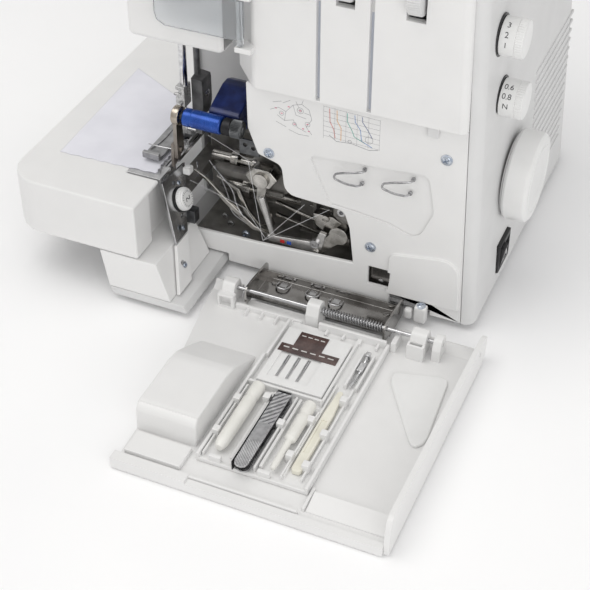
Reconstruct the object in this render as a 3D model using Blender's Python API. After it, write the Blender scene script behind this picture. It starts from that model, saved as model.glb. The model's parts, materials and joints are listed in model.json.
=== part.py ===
"""Serger overlock machine with its looper cover open: every part as its own closed solid, in metres, +Z up.

The origin is the middle of the machine's footprint on the table; the operator sits at -Y, the handwheel is at +X.
"""

import math

import bmesh
import bpy
from mathutils import Matrix, Vector

MM = 0.001

# ---- driving dimensions (millimetres) ----
FOOT_HEIGHT = 4.0
HULL_BOTTOM = 5.0
BODY_LEFT = -84.0
BODY_RIGHT = 151.0
BODY_FRONT = -20.0
BODY_REAR = 224.0
BODY_TOP = 262.0
TAPER_X = 0.047
TAPER_Y = 0.075
WALL = 3.0
GAP = 0.3
HEAD_FRONT = -26.0
HEAD_BOTTOM = 157.0
HEAD_RIGHT = 136.0
TABLE_LEFT = -167.0
TABLE_RIGHT = -68.0
TABLE_FRONT = -80.0
TABLE_REAR = 150.0
TABLE_TOP = 80.0
TABLE_SKIRT = 38.0
INNER_WALL_Y = 50.0
PANEL_LEFT = -11.0
NEEDLE_X = -71.0
NEEDLE_Y = 3.0
KNIFE_Y = -22.0
KNIFE_Z = 120.0
ROD_Y = -55.0
ROD_Z = 15.5
ROD_R = 1.3
WHEEL_Y = 52.0
WHEEL_Z = 85.0
WHEEL_R = 31.0
POLE_Y = 217.5
LIFTER_PIVOT = (-30.0, 150.0)
LOWER_PIVOT = (50.0, 46.0)
UPPER_PIVOT = (-8.0, 71.0)


# ---- scene and materials ----
def clear_scene():
    for obj in list(bpy.data.objects):
        bpy.data.objects.remove(obj, do_unlink=True)


def material(name, colour, roughness, metallic=0.0):
    found = bpy.data.materials.get(name)
    if found:
        return found
    made = bpy.data.materials.new(name)
    made.use_nodes = True
    shader = made.node_tree.nodes["Principled BSDF"]
    shader.inputs["Base Color"].default_value = (*colour, 1.0)
    shader.inputs["Roughness"].default_value = roughness
    shader.inputs["Metallic"].default_value = metallic
    made.diffuse_color = (*colour, 1.0)
    return made


def white():
    return material("white_plastic", (0.86, 0.86, 0.86), 0.4)


def grey_white():
    return material("grey_white_plastic", (0.72, 0.72, 0.71), 0.45)


def dark_plastic():
    return material("black_plastic", (0.02, 0.02, 0.022), 0.45)


def casting():
    return material("dark_casting", (0.09, 0.085, 0.08), 0.5, 0.8)


def steel():
    return material("bright_steel", (0.62, 0.61, 0.58), 0.25, 1.0)


def nickel():
    return material("nickel_plate", (0.6, 0.56, 0.5), 0.22, 1.0)


def blue():
    return material("blue_anodised", (0.01, 0.08, 0.42), 0.28, 0.6)


def navy():
    return material("navy_paint", (0.01, 0.012, 0.07), 0.4, 0.3)


# ---- mesh helpers; all take millimetres in the machine's own frame ----
def finish(name, bm, look):
    """Turn a bmesh into a named object whose mesh is in metres, with its faces pointing out."""
    bmesh.ops.remove_doubles(bm, verts=bm.verts, dist=1e-4)
    bmesh.ops.recalc_face_normals(bm, faces=bm.faces)
    bmesh.ops.scale(bm, vec=(MM, MM, MM), verts=bm.verts)
    mesh = bpy.data.meshes.new(name)
    bm.to_mesh(mesh)
    bm.free()
    mesh.materials.append(look)
    obj = bpy.data.objects.new(name, mesh)
    bpy.context.scene.collection.objects.link(obj)
    return obj


def box(low, high, name="block", look=None, bevel=0.0):
    bm = bmesh.new()
    bmesh.ops.create_cube(bm, size=1.0)
    size = Vector(high) - Vector(low)
    middle = (Vector(high) + Vector(low)) / 2
    bmesh.ops.transform(bm, matrix=Matrix.Translation(middle) @ Matrix.Diagonal((*size, 1.0)), verts=bm.verts)
    if bevel:
        bmesh.ops.bevel(bm, geom=list(bm.edges), offset=bevel, segments=2, profile=0.5, affect="EDGES")
    return finish(name, bm, look or white())


def rounded(points, radii, steps=5):
    """A closed outline with each corner of radius > 0 replaced by an arc."""
    made = []
    count = len(points)
    for i, (here, radius) in enumerate(zip(points, radii)):
        if radius <= 0:
            made.append(Vector(here))
            continue
        here = Vector(here)
        to_last = (Vector(points[i - 1]) - here).normalized()
        to_next = (Vector(points[(i + 1) % count]) - here).normalized()
        half = to_last.angle(to_next) / 2
        reach = radius / math.tan(half)
        centre = here + (to_last + to_next).normalized() * (radius / math.sin(half))
        start = here + to_last * reach - centre
        sweep = math.pi - 2 * half
        turn = 1 if start.cross(here + to_next * reach - centre) > 0 else -1
        for k in range(steps + 1):
            angle = turn * sweep * k / steps
            cos, sin = math.cos(angle), math.sin(angle)
            made.append(centre + Vector((start.x * cos - start.y * sin, start.x * sin + start.y * cos)))
    return made


PLANES = {
    "x": lambda a, b, c: (c, a, b),
    "y": lambda a, b, c: (a, c, b),
    "z": lambda a, b, c: (a, b, c),
}


def prism(outline, axis, low, high, name="block", look=None, shape=None):
    """Extrude a flat outline along an axis from low to high; shape(co) may then move each corner."""
    bm = bmesh.new()
    place = PLANES[axis]
    face = bm.faces.new([bm.verts.new(place(p[0], p[1], low)) for p in outline])
    made = bmesh.ops.extrude_face_region(bm, geom=[face])
    shift = Vector(place(0.0, 0.0, high - low))
    bmesh.ops.translate(bm, vec=shift, verts=[v for v in made["geom"] if isinstance(v, bmesh.types.BMVert)])
    if shape:
        for vert in bm.verts:
            vert.co = shape(vert.co)
    return finish(name, bm, look or white())


def rod(start, end, radius, name="rod", look=None, sides=16, end_radius=None, bevel=0.0):
    """A cylinder or cone between two points."""
    start, end = Vector(start), Vector(end)
    along = end - start
    bm = bmesh.new()
    last = radius if end_radius is None else end_radius
    bmesh.ops.create_cone(
        bm, cap_ends=True, segments=sides, radius1=radius, radius2=last, depth=along.length
    )
    if bevel:
        rims = [e for e in bm.edges if abs(e.verts[0].co.z - e.verts[1].co.z) < 1e-6]
        bmesh.ops.bevel(bm, geom=rims, offset=bevel, segments=2, profile=0.5, affect="EDGES")
    turn = along.to_track_quat("Z", "Y").to_matrix().to_4x4()
    bmesh.ops.transform(bm, matrix=Matrix.Translation((start + end) / 2) @ turn, verts=bm.verts)
    obj = finish(name, bm, look or steel())
    obj.data.shade_smooth()
    obj.data.set_sharp_from_angle(angle=math.radians(40))
    return obj


def plate(corners, thickness, name="block", look=None):
    """A flat plate whose outer face has these corners, thickened away from its normal."""
    bm = bmesh.new()
    face = bm.faces.new([bm.verts.new(c) for c in corners])
    face.normal_update()
    normal = face.normal.copy()
    made = bmesh.ops.extrude_face_region(bm, geom=[face])
    verts = [v for v in made["geom"] if isinstance(v, bmesh.types.BMVert)]
    bmesh.ops.translate(bm, vec=-normal * thickness, verts=verts)
    return finish(name, bm, look or steel())


def bar(path, width, low, high, name="bar", look=None):
    """A flat bar following a path in the XZ plane, from y = low to y = high."""
    points = [Vector(p) for p in path]
    left, right = [], []
    for i, here in enumerate(points):
        ahead = points[min(i + 1, len(points) - 1)] - points[max(i - 1, 0)]
        side = Vector((-ahead.y, ahead.x)).normalized() * (width if isinstance(width, (int, float)) else width[i]) / 2
        left.append(here + side)
        right.append(here - side)
    return prism(left + right[::-1], "y", low, high, name, look or steel())


def boolean(target, tools, operation):
    """Apply a Boolean with each tool in turn, then remove the tools."""
    for tool in tools:
        step = target.modifiers.new(operation.lower(), "BOOLEAN")
        step.operation = operation
        step.solver = "EXACT"
        step.object = tool
        graph = bpy.context.evaluated_depsgraph_get()
        mesh = bpy.data.meshes.new_from_object(target.evaluated_get(graph))
        target.modifiers.clear()
        target.data = mesh
        bpy.data.objects.remove(tool, do_unlink=True)
    return target


def cut(target, *tools):
    return boolean(target, tools, "DIFFERENCE")


def join(target, *tools):
    return boolean(target, tools, "UNION")


def name_it(obj, name, look):
    obj.name = name
    obj.data.name = name
    obj.data.materials.clear()
    obj.data.materials.append(look)
    for face in obj.data.polygons:
        face.material_index = 0
    return obj


def empty(name, point=(0, 0, 0), parent=None):
    """The datum of one moving body: an empty on its joint's axis."""
    made = bpy.data.objects.new(name, None)
    made.empty_display_size = 0.02
    bpy.context.scene.collection.objects.link(made)
    made.location = Vector(point) * MM
    if parent:
        made.parent = parent
        made.location -= parent.matrix_world.translation
    bpy.context.view_layer.update()
    return made


def attach(body, *objects):
    """Parent objects to a body, moving each one's origin onto the body's datum."""
    datum = body.matrix_world.translation
    for obj in objects:
        obj.data.transform(Matrix.Translation(-datum))
        obj.parent = body
    bpy.context.view_layer.update()


def tapered(co):
    """Lean the casing's right and rear walls in towards the top."""
    rise = (co.z - HULL_BOTTOM) / (BODY_TOP - HULL_BOTTOM)
    return Vector((
        BODY_LEFT + (co.x - BODY_LEFT) * (1 - TAPER_X * rise),
        BODY_FRONT + (co.y - BODY_FRONT) * (1 - TAPER_Y * rise),
        co.z,
    ))


# ---- base ----
def make_base_pan():
    outline = rounded([(BODY_LEFT + 4, BODY_FRONT + 5), (BODY_RIGHT - 5, BODY_FRONT + 5),
                       (BODY_RIGHT - 5, BODY_REAR - 5), (BODY_LEFT + 4, BODY_REAR - 5)], [0, 4, 19, 19])
    pan = prism(outline, "z", 4.3, 8)
    front = prism([(-88, 4.3), (-31, 4.3), (-33.5, 10.5), (-90.5, 10.5)], "y", -83, BODY_FRONT + 6)
    slots = [box((x, 60, 3), (x + 4, 120, 9)) for x in range(0, 100, 12)]
    return name_it(cut(join(pan, front), *slots), "base_pan", grey_white())


def make_feet():
    rubber = material("foot_rubber", (0.03, 0.03, 0.03), 0.85)
    places = {
        "foot_front_left": (-58, -66),
        "foot_front_right": (132, -2),
        "foot_rear_left": (-66, 204),
        "foot_rear_right": (132, 204),
    }
    return [rod((x, y, 0), (x, y, FOOT_HEIGHT), 8, name, rubber, 20, 7.0) for name, (x, y) in places.items()]


def make_arm_column():
    """The white lower column that stands forward under the cloth plate."""
    outline = [(-90.5, 10.8), (-43.4, 10.8), (-54.5, 37.4), (-97.4, 37.4)]
    column = prism(outline, "y", -83, -22, "arm_column", None,
                   lambda co: Vector((co.x, co.y + (3 * (co.z - 10) / 27 if co.y < -60 else 0), co.z)))
    neck = box((-97, -75, 36), (-74, -22, 76))
    hollow = prism([(-87, 13.5), (-48, 13.5), (-57.5, 35), (-77, 35), (-77, 73), (-94, 73), (-94, 37)], "y", -76, -10)
    return name_it(cut(join(column, neck), hollow), "arm_column", white())


def make_side_plate():
    """The tapered white plate on the column's slanted right side, with its slotted screw hole."""
    corners = [(-50.6, -56, 38.4), (-40.2, -75, 12.3), (-40.2, -56.5, 12.3), (-50.6, -39, 38.4)]
    body = plate(corners, 2.6, "side_plate", white())
    slot = rod((-60, -60, 22), (-30, -55, 31), 2.0, sides=10)
    return name_it(cut(body, slot), "side_plate", white())


def make_width_bracket():
    """The steel bracket on the column's right side that carries the stitch width dial."""
    corners = [(-66.35, -42.6, 76.8), (-51, -55.6, 39.0), (-51, -38.6, 39.0), (-65.4, -11, 74.5)]
    body = plate(corners, 2.0, "width_bracket", steel())
    hole = rod((-72, -12, 44), (-48, -48, 52), 1.4, sides=8)
    return name_it(cut(body, hole), "width_bracket", steel())


# ---- casings ----
def make_rear_casing():
    """Right, rear and left walls in one moulding, leaning in towards the top."""
    outer = rounded(
        [(142.5, BODY_FRONT), (BODY_RIGHT, BODY_FRONT), (BODY_RIGHT, BODY_REAR), (BODY_LEFT, BODY_REAR),
         (BODY_LEFT, INNER_WALL_Y), (BODY_LEFT + WALL, INNER_WALL_Y), (BODY_LEFT + WALL, BODY_REAR - WALL),
         (BODY_RIGHT - WALL, BODY_REAR - WALL), (BODY_RIGHT - WALL, BODY_FRONT + WALL), (142.5, BODY_FRONT + WALL)],
        [0, 8, 24, 24, 0, 0, 21, 21, 5, 0])
    casing = prism(outer, "z", HULL_BOTTOM, BODY_TOP - GAP, "rear_casing", None, tapered)
    inlet = box((140, 30, 14), (160, 56, 38))
    bearing = rod((130, WHEEL_Y, WHEEL_Z), (160, WHEEL_Y, WHEEL_Z), 6)
    return name_it(cut(join(casing, needle_wall()), inlet, bearing), "rear_casing", grey_white())


def needle_wall():
    """The wall behind and beside the needle space, from the table up."""
    outline = [(BODY_LEFT + 1, INNER_WALL_Y), (PANEL_LEFT - 4, INNER_WALL_Y), (PANEL_LEFT - 4, 0),
               (PANEL_LEFT - 1, 0), (PANEL_LEFT - 1, INNER_WALL_Y + WALL), (BODY_LEFT + 1, INNER_WALL_Y + WALL)]
    below = box((PANEL_LEFT - 8, -5, 70), (PANEL_LEFT + 4, INNER_WALL_Y - 2, 96))
    return cut(prism(outline, "z", TABLE_TOP + 1, BODY_TOP - GAP), below)


def make_front_panel():
    """The white front panel with the L-shaped looper window and the hinge notch."""
    outline = rounded(
        [(PANEL_LEFT, 156), (PANEL_LEFT, 122), (-4, 103), (13, 98), (15, 76), (58, 74), (62, 61), (64.5, 33),
         (-6.5, 28.5), (-61, 27), (-61, 12), (-30, 12), (-30, HULL_BOTTOM + 0.5), (91, HULL_BOTTOM + 0.5),
         (91, 16), (120, 16), (120, HULL_BOTTOM + 0.5), (142, HULL_BOTTOM + 0.5), (142, 156)],
        [0, 0, 3, 6, 9, 5, 0, 0, 0, 0, 0, 0, 0, 0, 3, 3, 0, 0, 0], 4)
    panel = prism(outline, "y", BODY_FRONT, BODY_FRONT + WALL, "front_panel", None, tapered)
    raised = prism(rounded([(88.5, 16.4), (140, 16.4), (138, 58), (90, 50)], [2, 2, 12, 6], 4), "y", BODY_FRONT - 2,
                   BODY_FRONT + 1)
    latch = box((75, -30, 19), (91, 0, 34))
    pocket = prism(rounded([(31, 112), (113, 118), (118, 90), (108, 66), (88, 73), (64, 76), (46, 77)],
                           [3, 6, 10, 8, 4, 4, 4], 4), "y", BODY_FRONT - 5, BODY_FRONT + 1.5)
    return name_it(cut(join(panel, raised), pocket, latch), "front_panel", white())


def make_latch_plate():
    """The steel catch behind the panel's rectangular cut-out, which the closed looper cover snaps on."""
    outline = [(-15, 15), (-13, 15), (-13, 24), (-9, 24), (-9, 26), (-13, 27), (-13, 38), (-15, 38)]
    return name_it(prism(outline, "x", 72, 94, "latch_plate", nickel()), "latch_plate", nickel())


def make_head_cover():
    """The front cover of the head: three panels divided by two thread grooves, with four tension dial slots."""
    outline = rounded(
        [(HEAD_RIGHT, HEAD_FRONT), (-5, HEAD_FRONT), (-25, -3), (-22, -1), (-3.5, HEAD_FRONT + 5.5),
         (HEAD_RIGHT - 5, HEAD_FRONT + 5.5), (HEAD_RIGHT - 5, HEAD_FRONT + 5.7), (HEAD_RIGHT, HEAD_FRONT + 5.7)],
        [5, 6, 0, 0, 3, 0, 0, 0])
    cover = prism(outline, "z", HEAD_BOTTOM, BODY_TOP - GAP, "head_cover", None,
                  lambda co: Vector((co.x - (co.z - HEAD_BOTTOM) * 0.035 if co.x > 0 else co.x, co.y, co.z)))
    grooves = [box((x - 1.4, HEAD_FRONT - 1, HEAD_BOTTOM + 1), (x + 1.4, HEAD_FRONT + 3.5, 300)) for x in (39, 73)]
    slots = [box((x - 6, HEAD_FRONT - 4, 226), (x + 6, HEAD_FRONT + 12, 258)) for x in DIAL_X]
    lugs = [box((-14, -33, z), (-3, -22, z + 3.5)) for z in (184, 220.3)]
    return name_it(join(cut(cover, *grooves, *slots), *lugs), "head_cover", white())


DIAL_X = (6.0, 27.0, 56.0, 100.0)


def make_tension_dials():
    """Four thumb wheels on horizontal axles, standing proud of their slots."""
    made = []
    for number, x in enumerate(DIAL_X, start=1):
        wheel = rod((x - 4.5, -21, 242), (x + 4.5, -21, 242), 13, f"tension_dial_{number}", grey_white(), 28, None, 1.0)
        made.append((wheel, (x, -21, 242)))
    return made


def make_end_cover():
    """The head's left end, round the needle bar and the presser bar."""
    shell = box((-96, -22, 172), (-27.5, 44, BODY_TOP - GAP), "end_cover", None, 4)
    inside = box((-93, -19, 175), (-20, INNER_WALL_Y + 9, 300))
    holes = box((-80, -8, 160), (-56, 28, 180))
    return name_it(cut(shell, inside, holes), "end_cover", white())


def make_eye_shield():
    """The clear finger guard in front of the needles, on a pivot at its right end."""
    look = material("clear_acrylic", (0.8, 0.83, 0.85), 0.06)
    outline = rounded([(-70, 192), (-8, 192), (-8, 216), (-70, 216)], [10, 6, 3, 3], 4)
    sheet = prism(outline, "y", -31.5, -29.0, "eye_shield", look)
    pivot = rod((-11, -30.2, 188), (-11, -30.2, 220), 2.2, sides=12)
    return name_it(join(sheet, pivot), "eye_shield", look)


def make_top_cover():
    """The lid over the casings, with a recess for the carrying handle."""
    right = BODY_LEFT + (BODY_RIGHT - BODY_LEFT) * (1 - TAPER_X)
    rear = BODY_FRONT + (BODY_REAR - BODY_FRONT) * (1 - TAPER_Y)
    outline = rounded([(-96, HEAD_FRONT), (right, HEAD_FRONT), (right, rear), (-86, rear), (-96, 60)],
                      [6, 10, 24, 24, 8])
    lid = prism(outline, "z", BODY_TOP, BODY_TOP + 14, "top_cover", None,
                lambda co: Vector((co.x * 0.985, co.y * 0.985, co.z)) if co.z > BODY_TOP + 1 else co)
    under = prism(rounded([(-92, -22), (right - 4, -22), (right - 4, rear - 4), (-82, rear - 4), (-92, 60)],
                          [4, 8, 20, 20, 6]), "z", BODY_TOP - 2, BODY_TOP + 2)
    recess = box((-40, 60, BODY_TOP + 4), (90, 112, 300))
    return name_it(cut(lid, under, recess), "top_cover", white())


def make_handle():
    """The fold-up carrying handle, lying in the lid's recess."""
    z = BODY_TOP + 9
    outline = rounded([(-37, 64), (87, 64), (87, 106.5), (77, 106.5), (77, 76), (-27, 76), (-27, 106.5), (-37, 106.5)],
                      [8, 8, 1, 1, 5, 5, 1, 1])
    return name_it(prism(outline, "z", z - 4, z + 4, "carrying_handle", white()), "carrying_handle", white())


def make_cloth_plate():
    """The table left of and round the needle plate: a hollow moulding, open below."""
    outline = rounded(
        [(TABLE_RIGHT, TABLE_FRONT), (TABLE_RIGHT, -44), (-92.3, -44), (-92.3, 36), (TABLE_RIGHT, 36),
         (TABLE_RIGHT, 47.5), (BODY_LEFT - 1, 47.5), (BODY_LEFT - 1, TABLE_REAR), (TABLE_LEFT, TABLE_REAR),
         (TABLE_LEFT, TABLE_FRONT)],
        [0, 0, 0, 0, 0, 0, 0, 0, 14, 23])
    table = prism(outline, "z", TABLE_SKIRT, TABLE_TOP, "cloth_plate")
    inner = rounded([(-71, -77), (-71, 46), (-88, 46), (-88, 147), (-164, 147), (-164, -77)], [0, 0, 0, 0, 11, 20])
    hollow = prism(inner, "z", TABLE_SKIRT - 5, TABLE_TOP - 3)
    right_open = box((-96, -58, TABLE_SKIRT - 5), (-60, 60, TABLE_TOP - 3))
    table = cut(table, hollow, right_open)
    return name_it(table, "cloth_plate", white())


def make_needle_plate():
    """The steel throat plate with its feed dog slots and needle slot."""
    body = box((-92, -43.6, 77.2), (-67, 35.6, 80.4), "needle_plate")
    slots = [box((-88, -8, 70), (-84.6, 26, 90)), box((-82.5, -8, 70), (-79, 26, 90)),
             box((-74, -1, 70), (-68.8, 7, 90)), box((-71.4, -28, 70), (-60, -16, 90))]
    return name_it(cut(body, *slots), "needle_plate", steel())


def make_machine_frame():
    """The cast frame round the loopers: floor, back wall, pillars, hub and a deep rear web."""
    frame = box((-60, -15, 14), (68, 44, 20), "machine_frame")
    back = box((-70, 38, 14), (72, 46, 76.4))
    upper = box((-8, 38, 70), (72, 46, 150))
    bed = box((-73.4, -27, 50), (-61.5, 42, 57.7))
    right = box((66, -14, 14), (72, 44, 72))
    hub = prism(rounded([(-20, 58), (6, 58), (10, 84), (0, 92), (-16, 88)], [3, 3, 3, 3, 3], 3), "y", 2, 44)
    step = prism([(10, 14), (66, 14), (66, 66), (20, 66), (10, 60)], "y", 16, 44)
    ribs = [box((x, 10, 18), (x + 3, 44, 58)) for x in (22, 36)]
    web = box((-40, 40, 14), (110, 180, 22))
    post = box((60, 44, 14), (72, 180, 120))
    bearing = box((90, WHEEL_Y - 12, 18), (102, WHEEL_Y + 12, 104))
    bore = rod((80, WHEEL_Y, WHEEL_Z), (110, WHEEL_Y, WHEEL_Z), 5.4)
    frame = join(frame, back, upper, bed, right, hub, step, *ribs, web, post, looper_clamp(), bearing)
    return name_it(cut(frame, bore), "machine_frame", casting())


# ---- controls on the right side ----
def knob(name, look, x0, x1, y, z, radius, sides=28, bevel=1.0):
    return rod((x0, y, z), (x1, y, z), radius, name, look, sides, None, bevel)


def make_handwheel():
    """The white handwheel with its domed rim, on the end of the main shaft."""
    wheel = knob("handwheel", white(), 149.5, 167, WHEEL_Y, WHEEL_Z, WHEEL_R, 40, 3.5)
    dish = knob("dish", white(), 165.5, 175, WHEEL_Y, WHEEL_Z, 22, 32, 0)
    bore = knob("bore", white(), 140, 156, WHEEL_Y, WHEEL_Z, 5.3, 16, 0)
    return name_it(cut(wheel, dish, bore), "handwheel", white())


def make_main_shaft():
    shaft = rod((76, WHEEL_Y, WHEEL_Z), (155.5, WHEEL_Y, WHEEL_Z), 5, "main_shaft", steel(), 16)
    pulley = rod((118, WHEEL_Y, WHEEL_Z), (130, WHEEL_Y, WHEEL_Z), 20, sides=28)
    crank = rod((76, WHEEL_Y, WHEEL_Z), (84, WHEEL_Y, WHEEL_Z), 11, sides=20)
    return name_it(join(shaft, pulley, crank), "main_shaft", steel())


def make_motor():
    body = rod((80, 150, 56), (134, 150, 56), 26, "motor", casting(), 28)
    shaft = rod((76, 150, 56), (144, 150, 56), 4, sides=12)
    return name_it(join(body, shaft), "motor", dark_plastic())


def make_inlet():
    """The black plate with the mains socket and the frame of the switch."""
    plate_block = box((134.0, 30.4, 14.4), (152.0, 55.6, 37.6), "power_inlet", None, 0.8)
    rocker = box((144, 32.4, 16.4), (160, 42, 35.8))
    socket = box((137, 44.5, 19), (160, 54, 33))
    return name_it(cut(plate_block, rocker, socket), "power_inlet", dark_plastic())


def make_switch():
    rocker = prism([(149.4, 17.4), (152.0, 17.4), (153.4, 26), (154.8, 34.6), (149.4, 34.6)], "y", 32.8, 41.6,
                   "power_switch", dark_plastic())
    return name_it(rocker, "power_switch", dark_plastic())


# ---- needle, presser and knife ----
def make_needle_parts():
    bar_rod = rod((NEEDLE_X, NEEDLE_Y, 120), (NEEDLE_X, NEEDLE_Y, 236), 1.9, "needle_bar", steel(), 16)
    clamp = box((-74.6, -2, 112), (-67.6, 8, 128), "clamp", None, 0.7)
    screws = rod((-71, -5, 118), (-71, -1, 118), 1.6, sides=12)
    bar_rod = name_it(join(bar_rod, clamp, screws), "needle_bar", steel())
    needles = []
    for name, x, tip in (("needle_left", -72.6, 85.5), ("needle_right", -69.8, 87.5)):
        shank = rod((x, NEEDLE_Y, 104), (x, NEEDLE_Y, 111.7), 0.9, name, steel(), 10)
        blade = rod((x, NEEDLE_Y, tip), (x, NEEDLE_Y, 104.5), 0.15, sides=8, end_radius=0.55)
        needles.append(name_it(join(shank, blade), name, steel()))
    return [bar_rod, *needles]


def make_presser_bar():
    """The black presser bar with its holder block."""
    dark = material("black_oxide", (0.035, 0.035, 0.04), 0.4, 0.7)
    bar_rod = rod((-66.5, 16, 96), (-66.5, 16, 236), 2.2, "presser_bar", dark, 14)
    block = prism(rounded([(-68, 98), (-61.5, 98), (-59.5, 108), (-59.5, 126), (-60, 129), (-68, 130)],
                          [1, 2, 3, 1, 1, 0], 3), "y", 9, 23)
    return name_it(join(bar_rod, block), "presser_bar", dark)


def make_presser_foot():
    """The sprung foot plate with its front guide fork and ankle."""
    look = material("foot_grey", (0.16, 0.16, 0.165), 0.35, 0.9)
    sole = prism(rounded([(-88, -26), (-75.5, -26), (-75.5, -4), (-66.8, -1), (-66.8, 28), (-88, 28)],
                         [2, 2, 1, 1, 3, 3], 3), "z", 81.9, 85.0, "presser_foot", look)
    slot = box((-74.4, -1.5, 70), (-68, 7.5, 100))
    toe = box((-88, -29, 84), (-75.5, -26, 88.5))
    ramp = box((-88, -28, 83), (-75.5, -24, 85.5))
    ankle = box((-72, 12, 84), (-63, 22, 95.7))
    return name_it(cut(join(sole, ramp, toe, ankle), slot), "presser_foot", look)


def make_lifter():
    """The presser foot lifter lever on the rear wall."""
    x, z = LIFTER_PIVOT
    hub = rod((x, 214.5, z), (x, 222, z), 6, sides=18)
    lever = bar([(x, z), (x - 24, z - 4), (x - 40, z - 14)], [9, 7, 11], 216, 221)
    return name_it(join(hub, lever), "presser_lifter", dark_plastic())


def make_upper_knife():
    """The knife's drive shaft with the left collar, the right thumb knob, and the blade on its arm."""
    shaft = rod((-66, KNIFE_Y, KNIFE_Z), (-14, KNIFE_Y, KNIFE_Z), 2.6, "upper_knife", steel(), 14)
    collar = rod((-65.6, KNIFE_Y, KNIFE_Z), (-59.5, KNIFE_Y, KNIFE_Z), 6.8, sides=24, bevel=0.8)
    ring = rod((-28.4, KNIFE_Y, KNIFE_Z), (-22.5, KNIFE_Y, KNIFE_Z), 5.6, sides=20)
    thumb = rod((-22.5, KNIFE_Y, KNIFE_Z), (-15, KNIFE_Y, KNIFE_Z), 6.2, sides=20, bevel=0.8)
    return name_it(join(shaft, collar, ring, thumb, knife_arm()), "upper_knife", steel())


def make_knife_knob():
    """The blue sleeve that is pushed aside and turned to raise the knife."""
    sleeve = rod((-57.2, KNIFE_Y, KNIFE_Z), (-29.4, KNIFE_Y, KNIFE_Z), 6.3, "knife_knob", blue(), 28, None, 0.6)
    bore = rod((-70, KNIFE_Y, KNIFE_Z), (-10, KNIFE_Y, KNIFE_Z), 3.0, sides=16)
    return name_it(cut(sleeve, bore), "knife_knob", blue())


def make_knife_lever():
    """The wide navy lever from the frame to the knob, with a cheek on its right."""
    outline = rounded([(-15.2, 114.5), (-15.2, 124.5), (9, 133.5), (16, 133), (30, 124), (30, 112), (8, 104)],
                      [1, 1, 6, 6, 5, 3, 6], 4)
    lever = prism(outline, "x", -43.5, -21, "knife_lever", navy())
    pocket = prism([(-8, 116), (-8, 123), (9, 129.5), (24, 121), (24, 112), (8, 108)], "x", -38, -10)
    rib = box((-40, 6, 106), (-23, 9, 131))
    return name_it(join(cut(lever, pocket), rib), "knife_lever", navy())


def knife_arm():
    """The moving blade on its arm, just right of the needle plate's edge."""
    arm = prism(rounded([(-26.5, 115), (-17.5, 115), (-17, 90), (-27, 88)], [2, 2, 2, 1], 3), "x", -64.5, -61.6,
                "upper_knife", steel())
    blade = prism([(-28, 81.5), (-17.5, 84), (-17.5, 99), (-27, 99)], "x", -66.4, -64.3)
    return join(arm, blade)


def make_lower_knife():
    blade = box((-71.1, -27.5, 62), (-69.4, -16.5, 79.6), "lower_knife", steel())
    holder = box((-73.4, -27, 58), (-70.6, -15, 70))
    return name_it(join(blade, holder), "lower_knife", steel())


# ---- loopers and feed ----
def make_lower_looper():
    """Crank, bar and hooked blade, swinging about the lower looper shaft."""
    px, pz = LOWER_PIVOT
    look = material("looper_steel", (0.5, 0.48, 0.45), 0.25, 1.0)
    hub = rod((px, -13, pz), (px, -2, pz), 7, "lower_looper", look, 20, None, 0.6)
    arm = bar([(px, pz), (40, 36), (34, 28.5)], [9, 8, 7], -13, -8)
    beam = box((0, -13.2, 25), (38, -8.2, 31.5))
    blade = bar([(4, 28), (-14, 34), (-34, 50), (-50, 66), (-58, 71)], [5, 4, 3.4, 2.6, 1.2], -12, -9.6)
    screw = rod((34, -15, 28.4), (34, -10, 28.4), 2.6, sides=12)
    return name_it(join(hub, arm, beam, blade, screw), "lower_looper", look)


def make_upper_looper():
    """Lever and curved hook, swinging about the upper looper shaft."""
    px, pz = UPPER_PIVOT
    look = material("looper_steel", (0.5, 0.48, 0.45), 0.25, 1.0)
    hub = rod((px, -6.6, pz), (px, 1.6, pz), 6, "upper_looper", look, 24, None, 0.6)
    lever = bar([(px, pz), (-11, 56), (-3, 34)], [8, 5.5, 4.5], -6.2, -2.6)
    hook = bar([(-3, 35), (-12, 30), (-22, 42), (-28, 58), (-44, 66)], [4.5, 5, 4, 3, 1.2], -6, -3.4)
    return name_it(join(hub, lever, hook), "upper_looper", look)


def looper_clamp():
    """The hexagonal clamp block of the looper shafts, bolted to the frame's right."""
    return prism(rounded([(44, 58), (58, 58), (63, 66), (58, 72), (44, 72)], [1, 1, 1, 1, 1], 2), "y", -8, 20)


def make_feed_dog(name, x0, x1):
    """A toothed feed bar in its slot."""
    teeth = []
    y = -6.0
    while y < 21:
        teeth += [(y, 80.2), (y + 1.0, 81.0)]
        y += 1.9
    outline = [(-7, 70), (-7, 80.0), *teeth, (22, 80.0), (22, 70)]
    return name_it(prism(outline, "x", x0, x1, name, steel()), name, steel())


# ---- stitch controls on the column ----
def slanted_axis():
    """The outward direction of the column's slanted side."""
    return Vector((math.cos(math.radians(22)), 0, math.sin(math.radians(22))))


def make_width_dial():
    centre = Vector((-58.2, -31.7, 59.0))
    out = slanted_axis()
    dial = rod(centre + out * 0.2, centre + out * 5.4, 8.2, "width_dial", white(), 28, 7.6, 0.6)
    return name_it(dial, "width_dial", white()), centre


def make_stitch_lever():
    centre = Vector((-60.5, -16.0, 72.2))
    lever = box(centre - Vector((3, 3.6, 2.4)), centre + Vector((3, 3.6, 3.6)), "stitch_finger_lever", white(), 1)
    return name_it(lever, "stitch_finger_lever", white()), centre


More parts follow.
